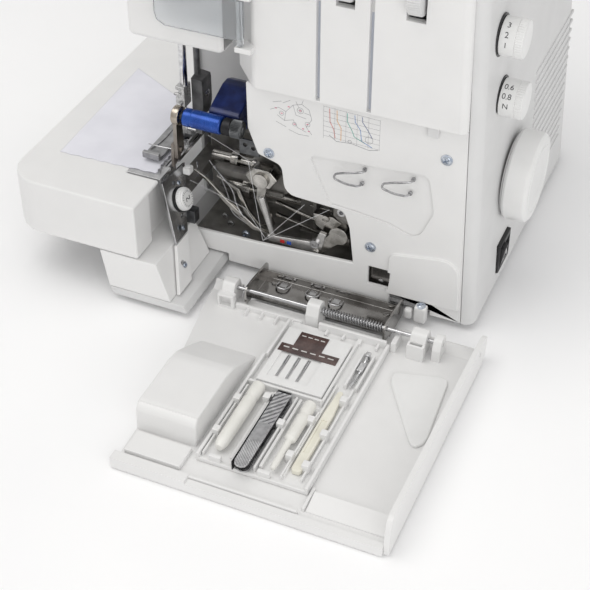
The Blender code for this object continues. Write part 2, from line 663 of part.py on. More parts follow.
# ---- looper cover ----
def make_hinge_bracket():
    """The nickel-plated strip with two ears that the hinge rod slides in."""
    strip = box((1, -48, 3.2), (102.5, -22.6, 4.7), "hinge_bracket")
    ears = []
    for x in (1.0, 101.0):
        outline = rounded([(-60, 9), (-58, 6), (-49, 6), (-48.4, 3.2), (-22.6, 3.2), (-22.6, 17), (-50, 20), (-60, 20)],
                          [0, 1, 0, 0, 0, 3, 3, 4], 3)
        ears.append(prism(outline, "x", x, x + 1.5))
    lug = box((1, -24.2, 3.2), (102.5, -22.6, 10))
    hole = rod((-10, ROD_Y, ROD_Z), (110, ROD_Y, ROD_Z), ROD_R + 0.35, sides=14)
    return name_it(cut(join(strip, *ears, lug), hole), "hinge_bracket", nickel())


def make_hinge_rod():
    return rod((-16, ROD_Y, ROD_Z), (140, ROD_Y, ROD_Z), ROD_R, "hinge_rod", steel(), 12)


def make_hinge_spring():
    """The coil spring round the rod, between the cover's middle boss and the right ear."""
    start, end, turns, radius, wire = 56.6, 100.4, 17, 2.75, 0.42
    bm = bmesh.new()
    steps = 10 * turns
    rings = []
    for i in range(steps + 1):
        angle = 2 * math.pi * turns * i / steps
        x = start + wire + (end - start - 2 * wire) * i / steps
        out = Vector((0, math.cos(angle), math.sin(angle)))
        middle = Vector((x, ROD_Y, ROD_Z)) + out * radius
        ring = []
        for k in range(4):
            turn = math.pi * (k + 0.5) / 2
            ring.append(bm.verts.new(middle + out * wire * math.cos(turn) + Vector((wire * math.sin(turn), 0, 0))))
        rings.append(ring)
    for a, b in zip(rings, rings[1:]):
        for k in range(4):
            bm.faces.new((a[k], a[(k + 1) % 4], b[(k + 1) % 4], b[k]))
    bm.faces.new(rings[0])
    bm.faces.new(rings[-1][::-1])
    return finish("hinge_spring", bm, steel())


COVER_FLOOR = [
    (-27, -52), (-24, -75), (-17, -120), (-12, -150), (-10, -214), (38, -222), (160, -222), (166.5, -216),
    (166.5, -52)]


def curl(outer, inner):
    """The cover's rear edge in section: it curls up round the rod, so that it clears the table as it turns."""
    angles = [math.radians(a) for a in (8, 25, 42, 59)]
    under = [(ROD_Y + outer * math.sin(a), ROD_Z - outer * math.cos(a)) for a in angles]
    over = [(ROD_Y + inner * math.sin(a), ROD_Z - inner * math.cos(a)) for a in reversed(angles)]
    return [(-56, 1.0), *under, *over, (-56, 5.0)]


def make_looper_cover():
    """The moulded cover lying open: floor, right wall, hinge bosses, and the hollow bulge at its left."""
    cover = prism(COVER_FLOOR, "z", 1.0, 5.0, "looper_cover")
    wall = prism([(-222, 1), (-54, 1), *curl(15.2, 12)[1:5], (-40.2, 14), (-40.5, 19.5), (-46, 22), (-214, 29),
                  (-219, 27), (-222, 18)], "x", 163.2, 166.5)
    curls = [prism(curl(15.0, 11.6), "x", x0, x1) for x0, x1 in ((-27, -7), (109, 165))]
    front = prism([(-224, 0.6), (-219, 0.6), (-219, 7), (-224, 7)], "x", -10, 163)
    lip = prism([(-224, 0.6), (-217, 0.6), (-217, 9), (-224, 9)], "x", -12, 38)
    bulge = prism([(-104, 2), (-146, 25), (-188, 25), (-193, 2)], "x", -10.5, 30)
    hollow = prism([(-112, 0), (-147, 22.2), (-186, 22.2), (-190.5, 0)], "x", -7.5, 27.3)
    bosses = []
    for x0, x1, top in ((-15, -6, 21), (47, 56, 22), (120.5, 131, 22), (136, 141.5, 21)):
        outline = rounded([(-62, 3), (-49, 3), (-49, 14), (-51, top), (-59, top), (-62, 14)], [0, 0, 2, 3, 3, 2], 3)
        bosses.append(prism(outline, "x", x0, x1))
    hole = rod((-30, ROD_Y, ROD_Z), (170, ROD_Y, ROD_Z), ROD_R + 0.35, sides=14)
    ledge = prism([(-200, 4), (-200, 9), (-214, 6), (-214, 4)], "x", 112, 163.5)
    cover = join(cover, *curls, wall, front, lip, bulge, ledge, *bosses)
    return name_it(cut(cover, hollow, hole), "looper_cover", white())


def make_tool_tray():
    """The clip-in tray for the accessories."""
    tray = box((35, -202, 5.3), (108, -64, 7.6), "tool_tray")
    rails = [box((35, -202, 6), (37, -104, 11.5)), box((106, -202, 6), (108, -64, 11)),
             box((35, -202, 6), (108, -200, 8.0)), box((38, -132.5, 6), (88, -130.5, 12.5)),
             box((54.5, -196, 6), (56.5, -134, 10)), box((74, -196, 6), (76, -134, 11)),
             box((89.6, -196, 6), (91, -112, 10))]
    return name_it(join(tray, *rails), "tool_tray", white())


def make_needle_case():
    case = box((41, -128.5, 7.9), (86, -74, 12.6), "needle_case", None, 0.8)
    slots = [box((x, -120, 11.6), (x + 2, -100, 20)) for x in (52, 59, 66)]
    return name_it(cut(case, *slots), "needle_case", white())


def make_tweezers():
    """Flat steel tweezers lying on their side in the tray."""
    steel_look = steel()
    upper = prism(rounded([(60.5, -205), (69.5, -205), (69.8, -136), (60, -136)], [4.4, 4.4, 0, 0], 6), "z", 14.2, 15.4,
                  "tweezers", steel_look)
    lower = prism(rounded([(60.5, -203), (69.5, -203), (69.8, -136), (60, -136)], [4.4, 4.4, 0, 0], 6), "z", 8.3, 9.5)
    back = box((60, -138, 8.3), (69.8, -135.6, 15.4))
    return name_it(join(upper, lower, back), "tweezers", steel_look)


def make_screwdriver():
    handle = rod((83, -137, 12.4), (83, -172, 12.4), 4.2, "screwdriver", white(), 16, 3.8, 0.8)
    shank = rod((83, -170, 12.4), (83, -197, 12.4), 2.2, sides=12)
    return name_it(join(handle, shank), "screwdriver", white())


def make_brush():
    return name_it(rod((46.5, -134, 12.7), (46.5, -194, 12.7), 4.6, "lint_brush", white(), 20, 4.4, 0.8),
                   "lint_brush", white())


def make_threader():
    cream = material("cream_plastic", (0.78, 0.75, 0.62), 0.4)
    outline = rounded([(92.5, -192), (99, -192), (99, -140), (97.5, -118), (93.5, -118), (92.5, -140)],
                      [2, 2, 0, 1.5, 1.5, 0], 3)
    return name_it(prism(outline, "z", 7.9, 11.4, "needle_threader", cream), "needle_threader", cream)


# ---- thread stand ----
def make_spool_stand():
    """The rear shelf with four spool pins and the fixed tube of the thread pole."""
    shelf = prism(rounded([(-72, 140), (118, 140), (118, 222), (-72, 222)], [10, 10, 14, 14], 4), "z", 277, 283,
                  "spool_stand", white())
    pins = []
    for x in (-48, 0, 48, 94):
        pins.append(rod((x, 178, 280), (x, 178, 322), 2.6, sides=12))
        pins.append(rod((x, 178, 280), (x, 178, 286), 16, sides=24))
    tube = rod((23, POLE_Y, 190), (23, POLE_Y, 288), 5, sides=16)
    bore = rod((23, POLE_Y, 180), (23, POLE_Y, 300), 3.3, sides=16)
    return name_it(cut(join(shelf, *pins, tube), bore), "spool_stand", white())


def make_thread_pole():
    """The telescopic pole with its guide bar, pushed down for storage."""
    pole = rod((23, POLE_Y, 200), (23, POLE_Y, 334), 2.8, "thread_pole", steel(), 14)
    guide = box((-52, POLE_Y - 2, 332), (98, POLE_Y + 2, 335.5))
    loops = []
    for x in (-48, 0, 48, 94):
        ring = prism(rounded([(x - 3.5, 336), (x + 3.5, 336), (x + 3.5, 345), (x - 3.5, 345)], [0, 0, 3, 3], 4), "y", POLE_Y - 1, POLE_Y + 1)
        hole = rod((x, POLE_Y - 5, 340.5), (x, POLE_Y + 5, 340.5), 1.8, sides=12)
        loops.append(cut(ring, hole))
        loops.append(box((x - 2, POLE_Y - 0.8, 334), (x + 2, POLE_Y + 0.8, 337)))
    return name_it(join(pole, guide, *loops), "thread_pole", steel())


# ---- assembly ----
def build():
    clear_scene()
    machine = empty("machine")
    attach(machine, make_base_pan(), *make_feet(), make_arm_column(), make_side_plate(), make_width_bracket(),
           make_rear_casing(), make_front_panel(), make_latch_plate(), make_head_cover(),
           make_end_cover(), make_top_cover(), make_cloth_plate(), make_needle_plate(), make_machine_frame(),
           make_motor(), make_inlet(), make_lower_knife(), make_hinge_bracket(),
           make_spool_stand())

    for wheel, centre in make_tension_dials():
        attach(empty(wheel.name + "_axis", centre, machine), wheel)
    attach(empty("eye_shield_axis", (-11, -30.2, 200), machine), make_eye_shield())
    attach(empty("handle_axis", (0, 104, BODY_TOP + 9), machine), make_handle())
    attach(empty("handwheel_axis", (150, WHEEL_Y, WHEEL_Z), machine), make_handwheel(), make_main_shaft())
    attach(empty("length_dial_axis", (150, 10, 209), machine),
           knob("length_dial", white(), 143.2, 158.0, 10, 209, 12))
    attach(empty("feed_dial_axis", (150, 19, 162), machine),
           knob("differential_dial", white(), 144.8, 160.0, 19, 162, 12))
    attach(empty("switch_axis", (152, 37.2, 26), machine), make_switch())
    attach(empty("needle_bar_axis", (NEEDLE_X, NEEDLE_Y, 120), machine), *make_needle_parts())
    attach(empty("presser_axis", (-66.5, 16, 100), machine), make_presser_bar(), make_presser_foot())
    attach(empty("lifter_axis", (LIFTER_PIVOT[0], 218, LIFTER_PIVOT[1]), machine), make_lifter())
    attach(empty("knife_axis", (-40, 26, 140), machine), make_upper_knife(), make_knife_knob(), make_knife_lever())
    attach(empty("lower_looper_axis", (LOWER_PIVOT[0], -8, LOWER_PIVOT[1]), machine), make_lower_looper())
    attach(empty("upper_looper_axis", (UPPER_PIVOT[0], -4, UPPER_PIVOT[1]), machine), make_upper_looper())
    attach(empty("main_feed_axis", (-86.3, 8, 75), machine), make_feed_dog("main_feed_dog", -87.6, -85.0))
    attach(empty("front_feed_axis", (-80.7, 8, 75), machine), make_feed_dog("differential_feed_dog", -82.1, -79.4))
    dial, centre = make_width_dial()
    attach(empty("width_dial_axis", centre, machine), dial)
    lever, centre = make_stitch_lever()
    attach(empty("stitch_lever_axis", centre, machine), lever)
    slide = empty("cover_slide_axis", (0, ROD_Y, ROD_Z), machine)
    attach(slide, make_hinge_rod(), make_hinge_spring())
    cover = empty("cover_hinge_axis", (0, ROD_Y, ROD_Z), slide)
    attach(cover, make_looper_cover(), make_tool_tray(), make_needle_case(), make_tweezers(), make_screwdriver(),
           make_brush(), make_threader())
    attach(empty("pole_axis", (23, POLE_Y, 300), machine), make_thread_pole())


build()
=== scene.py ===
import json
import math

import bmesh
import bpy
from mathutils import Euler, Matrix, Vector
from mathutils.bvhtree import BVHTree

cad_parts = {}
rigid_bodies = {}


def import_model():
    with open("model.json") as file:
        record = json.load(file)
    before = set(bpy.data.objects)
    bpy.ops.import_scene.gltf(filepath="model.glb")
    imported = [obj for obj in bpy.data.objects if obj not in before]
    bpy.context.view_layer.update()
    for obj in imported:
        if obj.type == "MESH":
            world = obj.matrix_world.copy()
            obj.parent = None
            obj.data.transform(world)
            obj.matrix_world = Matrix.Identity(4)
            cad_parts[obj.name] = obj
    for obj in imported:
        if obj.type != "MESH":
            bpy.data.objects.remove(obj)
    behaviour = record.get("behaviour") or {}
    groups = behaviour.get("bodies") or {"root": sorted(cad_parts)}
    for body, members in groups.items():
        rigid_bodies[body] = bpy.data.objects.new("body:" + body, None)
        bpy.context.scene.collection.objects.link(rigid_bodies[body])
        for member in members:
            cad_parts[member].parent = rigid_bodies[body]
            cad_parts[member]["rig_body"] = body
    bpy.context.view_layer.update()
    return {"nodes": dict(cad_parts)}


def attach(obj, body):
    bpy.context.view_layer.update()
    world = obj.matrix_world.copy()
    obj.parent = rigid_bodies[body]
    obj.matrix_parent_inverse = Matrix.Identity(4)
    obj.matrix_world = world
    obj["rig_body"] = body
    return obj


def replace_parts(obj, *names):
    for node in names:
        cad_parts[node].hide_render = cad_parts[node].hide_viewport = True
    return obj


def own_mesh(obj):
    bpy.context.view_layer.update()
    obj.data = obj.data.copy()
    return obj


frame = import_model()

# ---- Studio ----
# A pale paper floor under the machine, a bright white room, a large soft light above the left, two
# weaker ones at the front right, and the camera above the open looper cover.
BACK_AZIMUTH, BACK_ELEVATION = math.radians(23.4), math.radians(39.8)
scene = bpy.context.scene
scene.view_settings.view_transform = "Standard"
lens = bpy.data.cameras.new("front_camera")
lens.lens = 85.1
lens.sensor_width = 36.0
lens.clip_start = 0.01
camera = bpy.data.objects.new("front_camera", lens)
scene.collection.objects.link(camera)
camera.location = (0.3212, -0.713, 0.62)
away = Vector((math.sin(BACK_AZIMUTH) * math.cos(BACK_ELEVATION),
    -math.cos(BACK_AZIMUTH) * math.cos(BACK_ELEVATION), math.sin(BACK_ELEVATION)))
camera.rotation_euler = away.to_track_quat("Z", "Y").to_euler()
scene.camera = camera

room = bpy.data.worlds.new("white_room")
scene.world = room
room.use_nodes = True
room.node_tree.nodes["Background"].inputs["Color"].default_value = (1.0, 0.995, 0.985, 1.0)
room.node_tree.nodes["Background"].inputs["Strength"].default_value = 0.66


def soft_light(name, place, target, size, power, tint):
    """A square softbox that faces the target."""
    lamp = bpy.data.lights.new(name, "AREA")
    lamp.size = size
    lamp.energy = power
    lamp.color = tint
    holder = bpy.data.objects.new(name, lamp)
    scene.collection.objects.link(holder)
    holder.location = place
    aim = Vector(place) - Vector(target)
    holder.rotation_euler = aim.to_track_quat("Z", "Y").to_euler()


soft_light("top_softbox", (-0.5, -0.3, 1.7), (0.0, -0.02, 0.1), 1.3, 10.0, (1.0, 0.99, 0.97))
soft_light("front_softbox", (0.9, -1.3, 0.8), (0.0, -0.05, 0.1), 1.0, 5.0, (1.0, 0.995, 0.985))
soft_light("right_softbox", (1.3, -0.7, 0.5), (0.0, 0.0, 0.1), 0.7, 1.6, (1.0, 0.995, 0.985))

paper = bmesh.new()
bmesh.ops.create_grid(paper, x_segments=12, y_segments=12, size=3.0)
floor_mesh = bpy.data.meshes.new("paper_floor")
paper.to_mesh(floor_mesh)
paper.free()
floor = bpy.data.objects.new("paper_floor", floor_mesh)
scene.collection.objects.link(floor)

# ---- Moulded white covers ----
# Injection moulded ABS in two whites: a warm one on the covers and a cooler grey one on the base and the
# rear casing, darkened further as painted shade for the casing's side. The tool has a fine spark-eroded grain
# and every corner is rounded.
MM = 0.001


def shader_node(tree, kind, feeds=None, **values):
    """Adds a shader node, feeds its inputs from other nodes and sets the rest."""
    made = tree.nodes.new("ShaderNode" + kind)
    for socket, source in (feeds or {}).items():
        tree.links.new(source, made.inputs[socket])
    for socket, value in values.items():
        made.inputs[socket.replace("_", " ")].default_value = value
    return made


def finish(name, dark, light, rough, metal=0.0, patch=40.0, grain=1500.0, depth=0.02, spread=0.05,
        **sockets):
    """A finish with broad tone drift, uneven gloss and a fine surface grain. Depth is in millimetres."""
    look = bpy.data.materials.new(name)
    look.use_nodes = True
    tree = look.node_tree
    shader = tree.nodes["Principled BSDF"]
    place = {"Vector": shader_node(tree, "TexCoord").outputs["Object"]}

    drift = shader_node(tree, "TexNoise", place, Scale=patch, Detail=4.0)
    tones = shader_node(tree, "ValToRGB", {"Fac": drift.outputs["Fac"]})
    for stop, position, tone in zip(tones.color_ramp.elements, (0.35, 0.65), (dark, light)):
        stop.position = position
        stop.color = (*tone, 1.0)
    tree.links.new(tones.outputs["Color"], shader.inputs["Base Color"])

    grit = shader_node(tree, "TexNoise", place, Scale=grain, Detail=3.0)
    gloss = shader_node(tree, "MapRange", {"Value": grit.outputs["Fac"]}, To_Min=max(rough - spread, 0.02),
        To_Max=rough + spread)
    tree.links.new(gloss.outputs["Result"], shader.inputs["Roughness"])
    relief = shader_node(tree, "Bump", {"Height": grit.outputs["Fac"]}, Distance=depth * MM, Strength=0.6)
    tree.links.new(relief.outputs["Normal"], shader.inputs["Normal"])
    shader.inputs["Metallic"].default_value = metal
    for socket, value in sockets.items():
        shader.inputs[socket.replace("_", " ")].default_value = value
    return look


def wear(obj, look):
    """Gives a piece its finish."""
    obj.data.materials.clear()
    obj.data.materials.append(look)
    return obj


def settle(name, bm, look, body, sharp=34.0, unit=MM):
    """Makes a bmesh drawn in millimetres a finished piece that rides on a body."""
    bmesh.ops.remove_doubles(bm, verts=bm.verts, dist=0.0004 * MM / unit)
    bmesh.ops.recalc_face_normals(bm, faces=bm.faces)
    bmesh.ops.scale(bm, verts=bm.verts, vec=(unit, unit, unit))
    mesh = bpy.data.meshes.new(name)
    bm.to_mesh(mesh)
    bm.free()
    mesh.shade_smooth()
    mesh.set_sharp_from_angle(angle=math.radians(sharp))
    piece = bpy.data.objects.new(name, mesh)
    scene.collection.objects.link(piece)
    even = piece.modifiers.new("even_normals", "WEIGHTED_NORMAL")
    even.keep_sharp = True
    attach(piece, body)
    return wear(piece, look)


def has_room(edge, width):
    """True where the faces beside an edge are wide enough to take the rounding."""
    along = (edge.verts[1].co - edge.verts[0].co).normalized()
    for vert in edge.verts:
        for other in vert.link_edges:
            if other is edge or not set(other.link_faces) & set(edge.link_faces):
                continue
            run = (other.other_vert(vert).co - vert.co)
            if run.length < 2.1 * width and abs(run.normalized().dot(along)) < 0.6:
                return False
    return True


def sound(bm, before, width):
    """True while a rounded shape is closed and keeps within the rounding's width of the one it began as."""
    trial = bm.copy()
    bmesh.ops.triangulate(trial, faces=trial.faces)
    whole = all(len(edge.link_faces) == 2 for edge in trial.edges)
    volume = trial.calc_volume() / before.calc_volume()
    area = sum(face.calc_area() for face in trial.faces) / sum(face.calc_area() for face in before.faces)
    near = True
    for one, other in ((trial, before), (before, trial)):
        skin = BVHTree.FromBMesh(one)
        near = near and all(skin.find_nearest(vert.co)[3] < 1.3 * width for vert in other.verts)
    trial.free()
    return whole and near and 0.93 < volume < 1.02 and area < 1.01


def rounded_corners(bm, width, segments=3, corner=30.0):
    """The shape with its corner edges rounded as widely as it can take without a fault."""
    for share, clamp in ((1.0, False), (0.6, False), (0.35, False), (1.0, True), (0.5, True)):
        trial = bm.copy()
        edges = [edge for edge in trial.edges if len(edge.link_faces) == 2
                 and edge.calc_face_angle(0.0) > math.radians(corner) and has_room(edge, width * share)]
        bmesh.ops.bevel(trial, geom=edges, offset=width * share, offset_type="OFFSET", affect="EDGES",
            segments=segments, profile=0.5, clamp_overlap=clamp, material=-1)
        if sound(trial, bm, width):
            bm.free()
            return trial
        trial.free()
    return bm


def moulded(node, look, width, segments=3, angle=1.0):
    """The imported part's own shape with rounded corners, standing for the part."""
    source = frame["nodes"][node]
    bm = bmesh.new()
    bm.from_mesh(source.data)
    bmesh.ops.remove_doubles(bm, verts=bm.verts, dist=0.00001)
    bmesh.ops.dissolve_limit(bm, angle_limit=math.radians(angle), verts=bm.verts, edges=bm.edges)
    bm = rounded_corners(bm, width * MM, segments)
    piece = settle(node + "_skin", bm, look, source["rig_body"], unit=1.0)
    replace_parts(piece, node)
    return piece


warm_white = finish("warm_white_abs", (0.775, 0.772, 0.768), (0.795, 0.792, 0.788), 0.36, depth=0.012,
    grain=2200.0, Specular_IOR_Level=0.45)
# Partly the casing's own greyer white and partly painted shade: it is darker than the covers to stand in for the
# shade on the casing's side.
greyer_and_shaded_white = finish("grey_white_abs_and_painted_shade", (0.66, 0.66, 0.66), (0.69, 0.69, 0.69), 0.42, depth=0.016,
    grain=1800.0, Specular_IOR_Level=0.4)
wear(floor, finish("white_paper", (0.93, 0.93, 0.94), (0.97, 0.97, 0.975), 0.8, patch=3.0, grain=400.0,
    depth=0.05))

COVERS = {
    "arm_column": (warm_white, "white_plastic", 1.2),
    "side_plate": (warm_white, "white_plastic", 0.5),
    "front_panel": (warm_white, "white_plastic", 0.8),
    "head_cover": (warm_white, "white_plastic", 1.0),
    "end_cover": (warm_white, "white_plastic", 1.0),
    "top_cover": (warm_white, "white_plastic", 2.0),
    "cloth_plate": (warm_white, "white_plastic", 1.4),
    "carrying_handle": (warm_white, "white_plastic", 1.5),
    "spool_stand": (warm_white, "white_plastic", 0.8),
    "looper_cover": (warm_white, "white_plastic", 0.9),
    "tool_tray": (warm_white, "white_plastic", 0.4),
    "base_pan": (greyer_and_shaded_white, "grey_white_plastic", 0.9),
    "rear_casing": (greyer_and_shaded_white, "grey_white_plastic", 0.9),
}
for node, (look, slot, width) in COVERS.items():
    moulded(node, look, width)

# ---- Steel working parts ----
# The parts that wear are ground steel, the frame is a dark phosphated casting, and the hinge bracket
# and the cover's catch are pressed strip with a nickel plate.
steel = finish("ground_steel", (0.50, 0.50, 0.51), (0.66, 0.66, 0.67), 0.24, 1.0, patch=160.0, grain=2600.0,
    depth=0.004, spread=0.08)
casting = finish("dark_casting", (0.19, 0.182, 0.17), (0.31, 0.30, 0.285), 0.44, 0.6, patch=110.0,
    grain=1100.0, depth=0.05, spread=0.1)
nickel = finish("nickel_plate", (0.22, 0.21, 0.20), (0.44, 0.43, 0.42), 0.16, 1.0, patch=50.0, grain=1500.0,
    depth=0.01)
for node in ("needle_plate", "lower_knife", "width_bracket", "main_shaft", "thread_pole"):
    moulded(node, steel, 0.25, 2)
moulded("machine_frame", casting, 0.7)
moulded("hinge_bracket", nickel, 0.3, 2)
moulded("latch_plate", nickel, 0.3, 2)


def aimed(place, out):
    """The turn and move that stand a shape drawn along Z on a place, pointing out."""
    return Matrix.Translation(place) @ out.to_track_quat("Z", "Y").to_matrix().to_4x4()


def add(bm, part, move=(0.0, 0.0, 0.0), turn=(0.0, 0.0, 0.0)):
    """Puts a small shape into a piece, turned about its own origin and then moved."""
    matrix = Matrix.Translation(move) @ Euler([math.radians(angle) for angle in turn]).to_matrix().to_4x4()
    bmesh.ops.transform(part, matrix=matrix, verts=part.verts)
    held = bpy.data.meshes.new("held")
    part.to_mesh(held)
    part.free()
    bm.from_mesh(held)
    bpy.data.meshes.remove(held)
    return bm


def round_off(bm, edges, width, segments):
    """Rounds edges as widely as the faces beside them allow."""
    bmesh.ops.bevel(bm, geom=edges, offset=width, offset_type="OFFSET", affect="EDGES", segments=segments,
        profile=0.5, clamp_overlap=True, material=-1)
    return bm


def block(low, high, bevel=0.3, segments=2):
    """A box with rounded edges."""
    bm = bmesh.new()
    bmesh.ops.create_cube(bm, size=1.0)
    low, high = Vector(low), Vector(high)
    bmesh.ops.scale(bm, verts=bm.verts, vec=high - low)
    bmesh.ops.translate(bm, verts=bm.verts, vec=(low + high) / 2)
    return round_off(bm, bm.edges[:], bevel, segments) if bevel else bm


def blocks(rows, bm=None):
    """Rounded boxes in one shape, each given as its low corner, its high corner and its rounding."""
    bm = bm or bmesh.new()
    for low, high, bevel in rows:
        add(bm, block(low, high, bevel))
    return bm


def turned(profile, start, end, steps=48, crown=None):
    """A lathe shape: (distance from start, radius) points spun about the line from start to end."""
    start, end = Vector(start), Vector(end)
    bm = bmesh.new()
    verts = [bm.verts.new((radius, 0.0, along)) for along, radius in profile]
    edges = [bm.edges.new(pair) for pair in zip(verts, verts[1:])]
    bmesh.ops.spin(bm, geom=verts + edges, cent=(0, 0, 0), axis=(0, 0, 1), angle=2 * math.pi, steps=steps,
        use_merge=True)
    bmesh.ops.remove_doubles(bm, verts=bm.verts, dist=0.0004)
    if crown:
        for vert in bm.verts:
            vert.co = crown(vert.co)
    bmesh.ops.transform(bm, matrix=aimed(start, end - start), verts=bm.verts)
    return bm


def peg(start, end, radius, end_radius=None, edge=0.3, steps=40):
    """A round bar with softened ends."""
    end_radius = radius if end_radius is None else end_radius
    length = (Vector(end) - Vector(start)).length
    profile = [(0.0, 0.0), (0.0, radius - edge), (edge * 0.3, radius - edge * 0.3), (edge, radius),
        (length - edge, end_radius), (length - edge * 0.3, end_radius - edge * 0.3),
        (length, end_radius - edge), (length, 0.0)]
    return turned(profile, start, end, steps)


SPREAD = {"x": lambda a, b, t: (t, a, b), "y": lambda a, b, t: (a, t, b), "z": lambda a, b, t: (a, b, t)}


def slab(outline, axis, low, high, bevel=0.3, segments=2):
    """An outline pushed through from low to high along an axis, with rounded edges."""
    bm = bmesh.new()
    base = bm.faces.new([bm.verts.new(SPREAD[axis](a, b, low)) for a, b in outline])
    grown = bmesh.ops.extrude_face_region(bm, geom=[base])["geom"]
    top = [item for item in grown if isinstance(item, bmesh.types.BMVert)]
    bmesh.ops.translate(bm, verts=top, vec=SPREAD[axis](0.0, 0.0, high - low))
    bmesh.ops.recalc_face_normals(bm, faces=bm.faces)
    return round_off(bm, bm.edges[:], bevel, segments) if bevel else bm


def carved(bm, cutter):
    """The first shape with the second taken out of it."""
    pair = []
    for shape in (bm, cutter):
        bmesh.ops.recalc_face_normals(shape, faces=shape.faces)
        mesh = bpy.data.meshes.new("carving")
        shape.to_mesh(mesh)
        shape.free()
        pair.append(bpy.data.objects.new("carving", mesh))
        scene.collection.objects.link(pair[-1])
    cut = pair[0].modifiers.new("cut", "BOOLEAN")
    cut.operation = "DIFFERENCE"
    cut.use_self = True
    cut.object = pair[1]
    bpy.context.view_layer.update()
    left = bmesh.new()
    left.from_object(pair[0], bpy.context.evaluated_depsgraph_get())
    for obj in pair:
        mesh = obj.data
        bpy.data.objects.remove(obj)
        bpy.data.meshes.remove(mesh)
    return left


def from_curve(curve):
    """A curve or a text as a bmesh."""
    holder = bpy.data.objects.new("curve", curve)
    mesh = bpy.data.meshes.new_from_object(holder)
    bm = bmesh.new()
    bm.from_mesh(mesh)
    bpy.data.meshes.remove(mesh)
    bpy.data.objects.remove(holder)
    bpy.data.curves.remove(curve)
    return bm


def wire(points, radius, smooth=True, round_sides=3):
    """A bent wire along a smooth line through the points, as a bmesh in millimetres."""
    line = bpy.data.curves.new("wire", "CURVE")
    line.dimensions = "3D"
    line.resolution_u = 8
    line.bevel_depth = radius
    line.bevel_resolution = round_sides
    line.use_fill_caps = True
    if smooth:
        spline = line.splines.new("BEZIER")
        spline.bezier_points.add(len(points) - 1)
        for knot, place in zip(spline.bezier_points, points):
            knot.co = place
            knot.handle_left_type = knot.handle_right_type = "AUTO"
    else:
        spline = line.splines.new("POLY")
        spline.points.add(len(points) - 1)
        for knot, place in zip(spline.points, points):
            knot.co = (*place, 1.0)
    return from_curve(line)


# ---- Panel screws ----
# Zinc-plated pan head screws with a cross recess that hold the front panel to the frame, and the white
# pillar in the panel's notch with one more on top. The plating has a faint blue passivated tint.
zinc = finish("zinc_plate", (0.42, 0.47, 0.55), (0.62, 0.66, 0.72), 0.25, 1.0, patch=400.0, grain=2500.0,
    depth=0.006)


def cross_screw(name, place, out, radius, body, look=zinc, flange=1.3):
    """A domed head with a cross recess on a wider washer face."""
    out = Vector(out).normalized()
    place = Vector(place)
    rise = radius * 0.55
    head = turned([(0.0, 0.0), (0.0, radius * flange), (0.35, radius * flange), (0.5, radius),
        (rise * 0.6, radius * 0.97), (rise * 0.9, radius * 0.75), (rise, radius * 0.35), (rise, 0.0)],
        (0, 0, 0), (0, 0, 1), 40)
    cross = block((-radius * 0.72, -radius * 0.14, rise * 0.3), (radius * 0.72, radius * 0.14, rise + 1),
        0.0)
    add(cross, block((-radius * 0.14, -radius * 0.72, rise * 0.3), (radius * 0.14, radius * 0.72, rise + 1),
        0.0))
    head = carved(head, cross)
    spin = Matrix.Rotation(math.radians(28), 4, "Z")
    bmesh.ops.transform(head, matrix=aimed(place, out) @ spin, verts=head.verts)
    return settle(name, head, look, body, 30.0)


PANEL_FACE = -20.05
for number, (x, y, z) in enumerate(((2.7, PANEL_FACE, 105.9), (123.5, PANEL_FACE, 133.0),
        (76.0, PANEL_FACE, 50.5)), start=1):
    cross_screw(f"panel_screw_{number}", (x, y, z), (0, -1, 0), 3.0, "machine")
cross_screw("window_screw", (-20.5, -9.9, 25.0), (0, -1, 0.1), 2.6, "machine")
cross_screw("side_plate_screw", (-44.6, -57.5, 24.8), (0.92, 0, 0.39), 1.7, "machine")
cross_screw("bracket_screw", (-51.9, -43.5, 44.8), (0.92, 0, 0.39), 1.5, "machine")
cross_screw("dial_stop_screw", (-61.6, -28.5, 69.8), (0.92, -0.1, 0.39), 1.3, "machine")

pillar = block((111.5, -29.0, 4.0), (120.0, -22.6, 17.0), 1.6, 3)
add(pillar, block((104.0, -28.0, 4.0), (110.0, -22.6, 12.0), 2.0, 3))
settle("notch_pillar", pillar, warm_white, "machine")
cross_screw("notch_screw", (115.8, -25.8, 16.9), (0, -0.15, 1), 2.4, "machine")

# ---- Thread guides on the panel ----
# Two bent steel wires, each an open hook whose ends are pressed into the panel, that lead the looper
# threads down across the pocket to the looper window.
chrome = finish("chrome_wire", (0.55, 0.55, 0.56), (0.80, 0.80, 0.81), 0.12, 1.0, patch=300.0, grain=3000.0,
    depth=0.002, spread=0.04)
guide_steel = finish("guide_wire", (0.30, 0.30, 0.31), (0.50, 0.50, 0.51), 0.22, 1.0, patch=250.0,
    depth=0.003)
for number, (x, z) in enumerate(((51.5, 104.6), (84.4, 106.2)), start=1):
    hook = wire([(x + 18.5, -17.8, z + 6.6), (x + 18.4, -23.0, z + 6.8), (x + 15.0, -25.0, z + 6.4),
        (x + 3.5, -25.4, z + 3.0), (x + 0.2, -25.4, z + 1.2), (x - 0.2, -25.4, z - 1.6),
        (x + 2.0, -25.2, z - 2.9), (x + 12.0, -24.6, z - 4.6), (x + 16.2, -23.0, z - 4.6),
        (x + 17.0, -17.8, z - 4.4)], 0.75)
    add(hook, peg((x + 18.5, -19.6, z + 6.6), (x + 18.5, -21.2, z + 6.6), 1.5, edge=0.3))
    add(hook, peg((x + 17.0, -19.6, z - 4.4), (x + 17.0, -21.2, z - 4.4), 1.5, edge=0.3))
    settle(f"panel_guide_{number}", hook, guide_steel, "machine", 40.0)

# ---- Threading diagram ----
# A plain printed guide on the panel: one sketch of the looper parts in grey with pink dots, and one
# of the four thread paths in their four colours. It has no words on it.
INK_FACE = -20.02


def ink(name, tone):
    return finish(name, tuple(0.85 * shade for shade in tone), tone, 0.5, patch=600.0, grain=2500.0,
        depth=0.003)


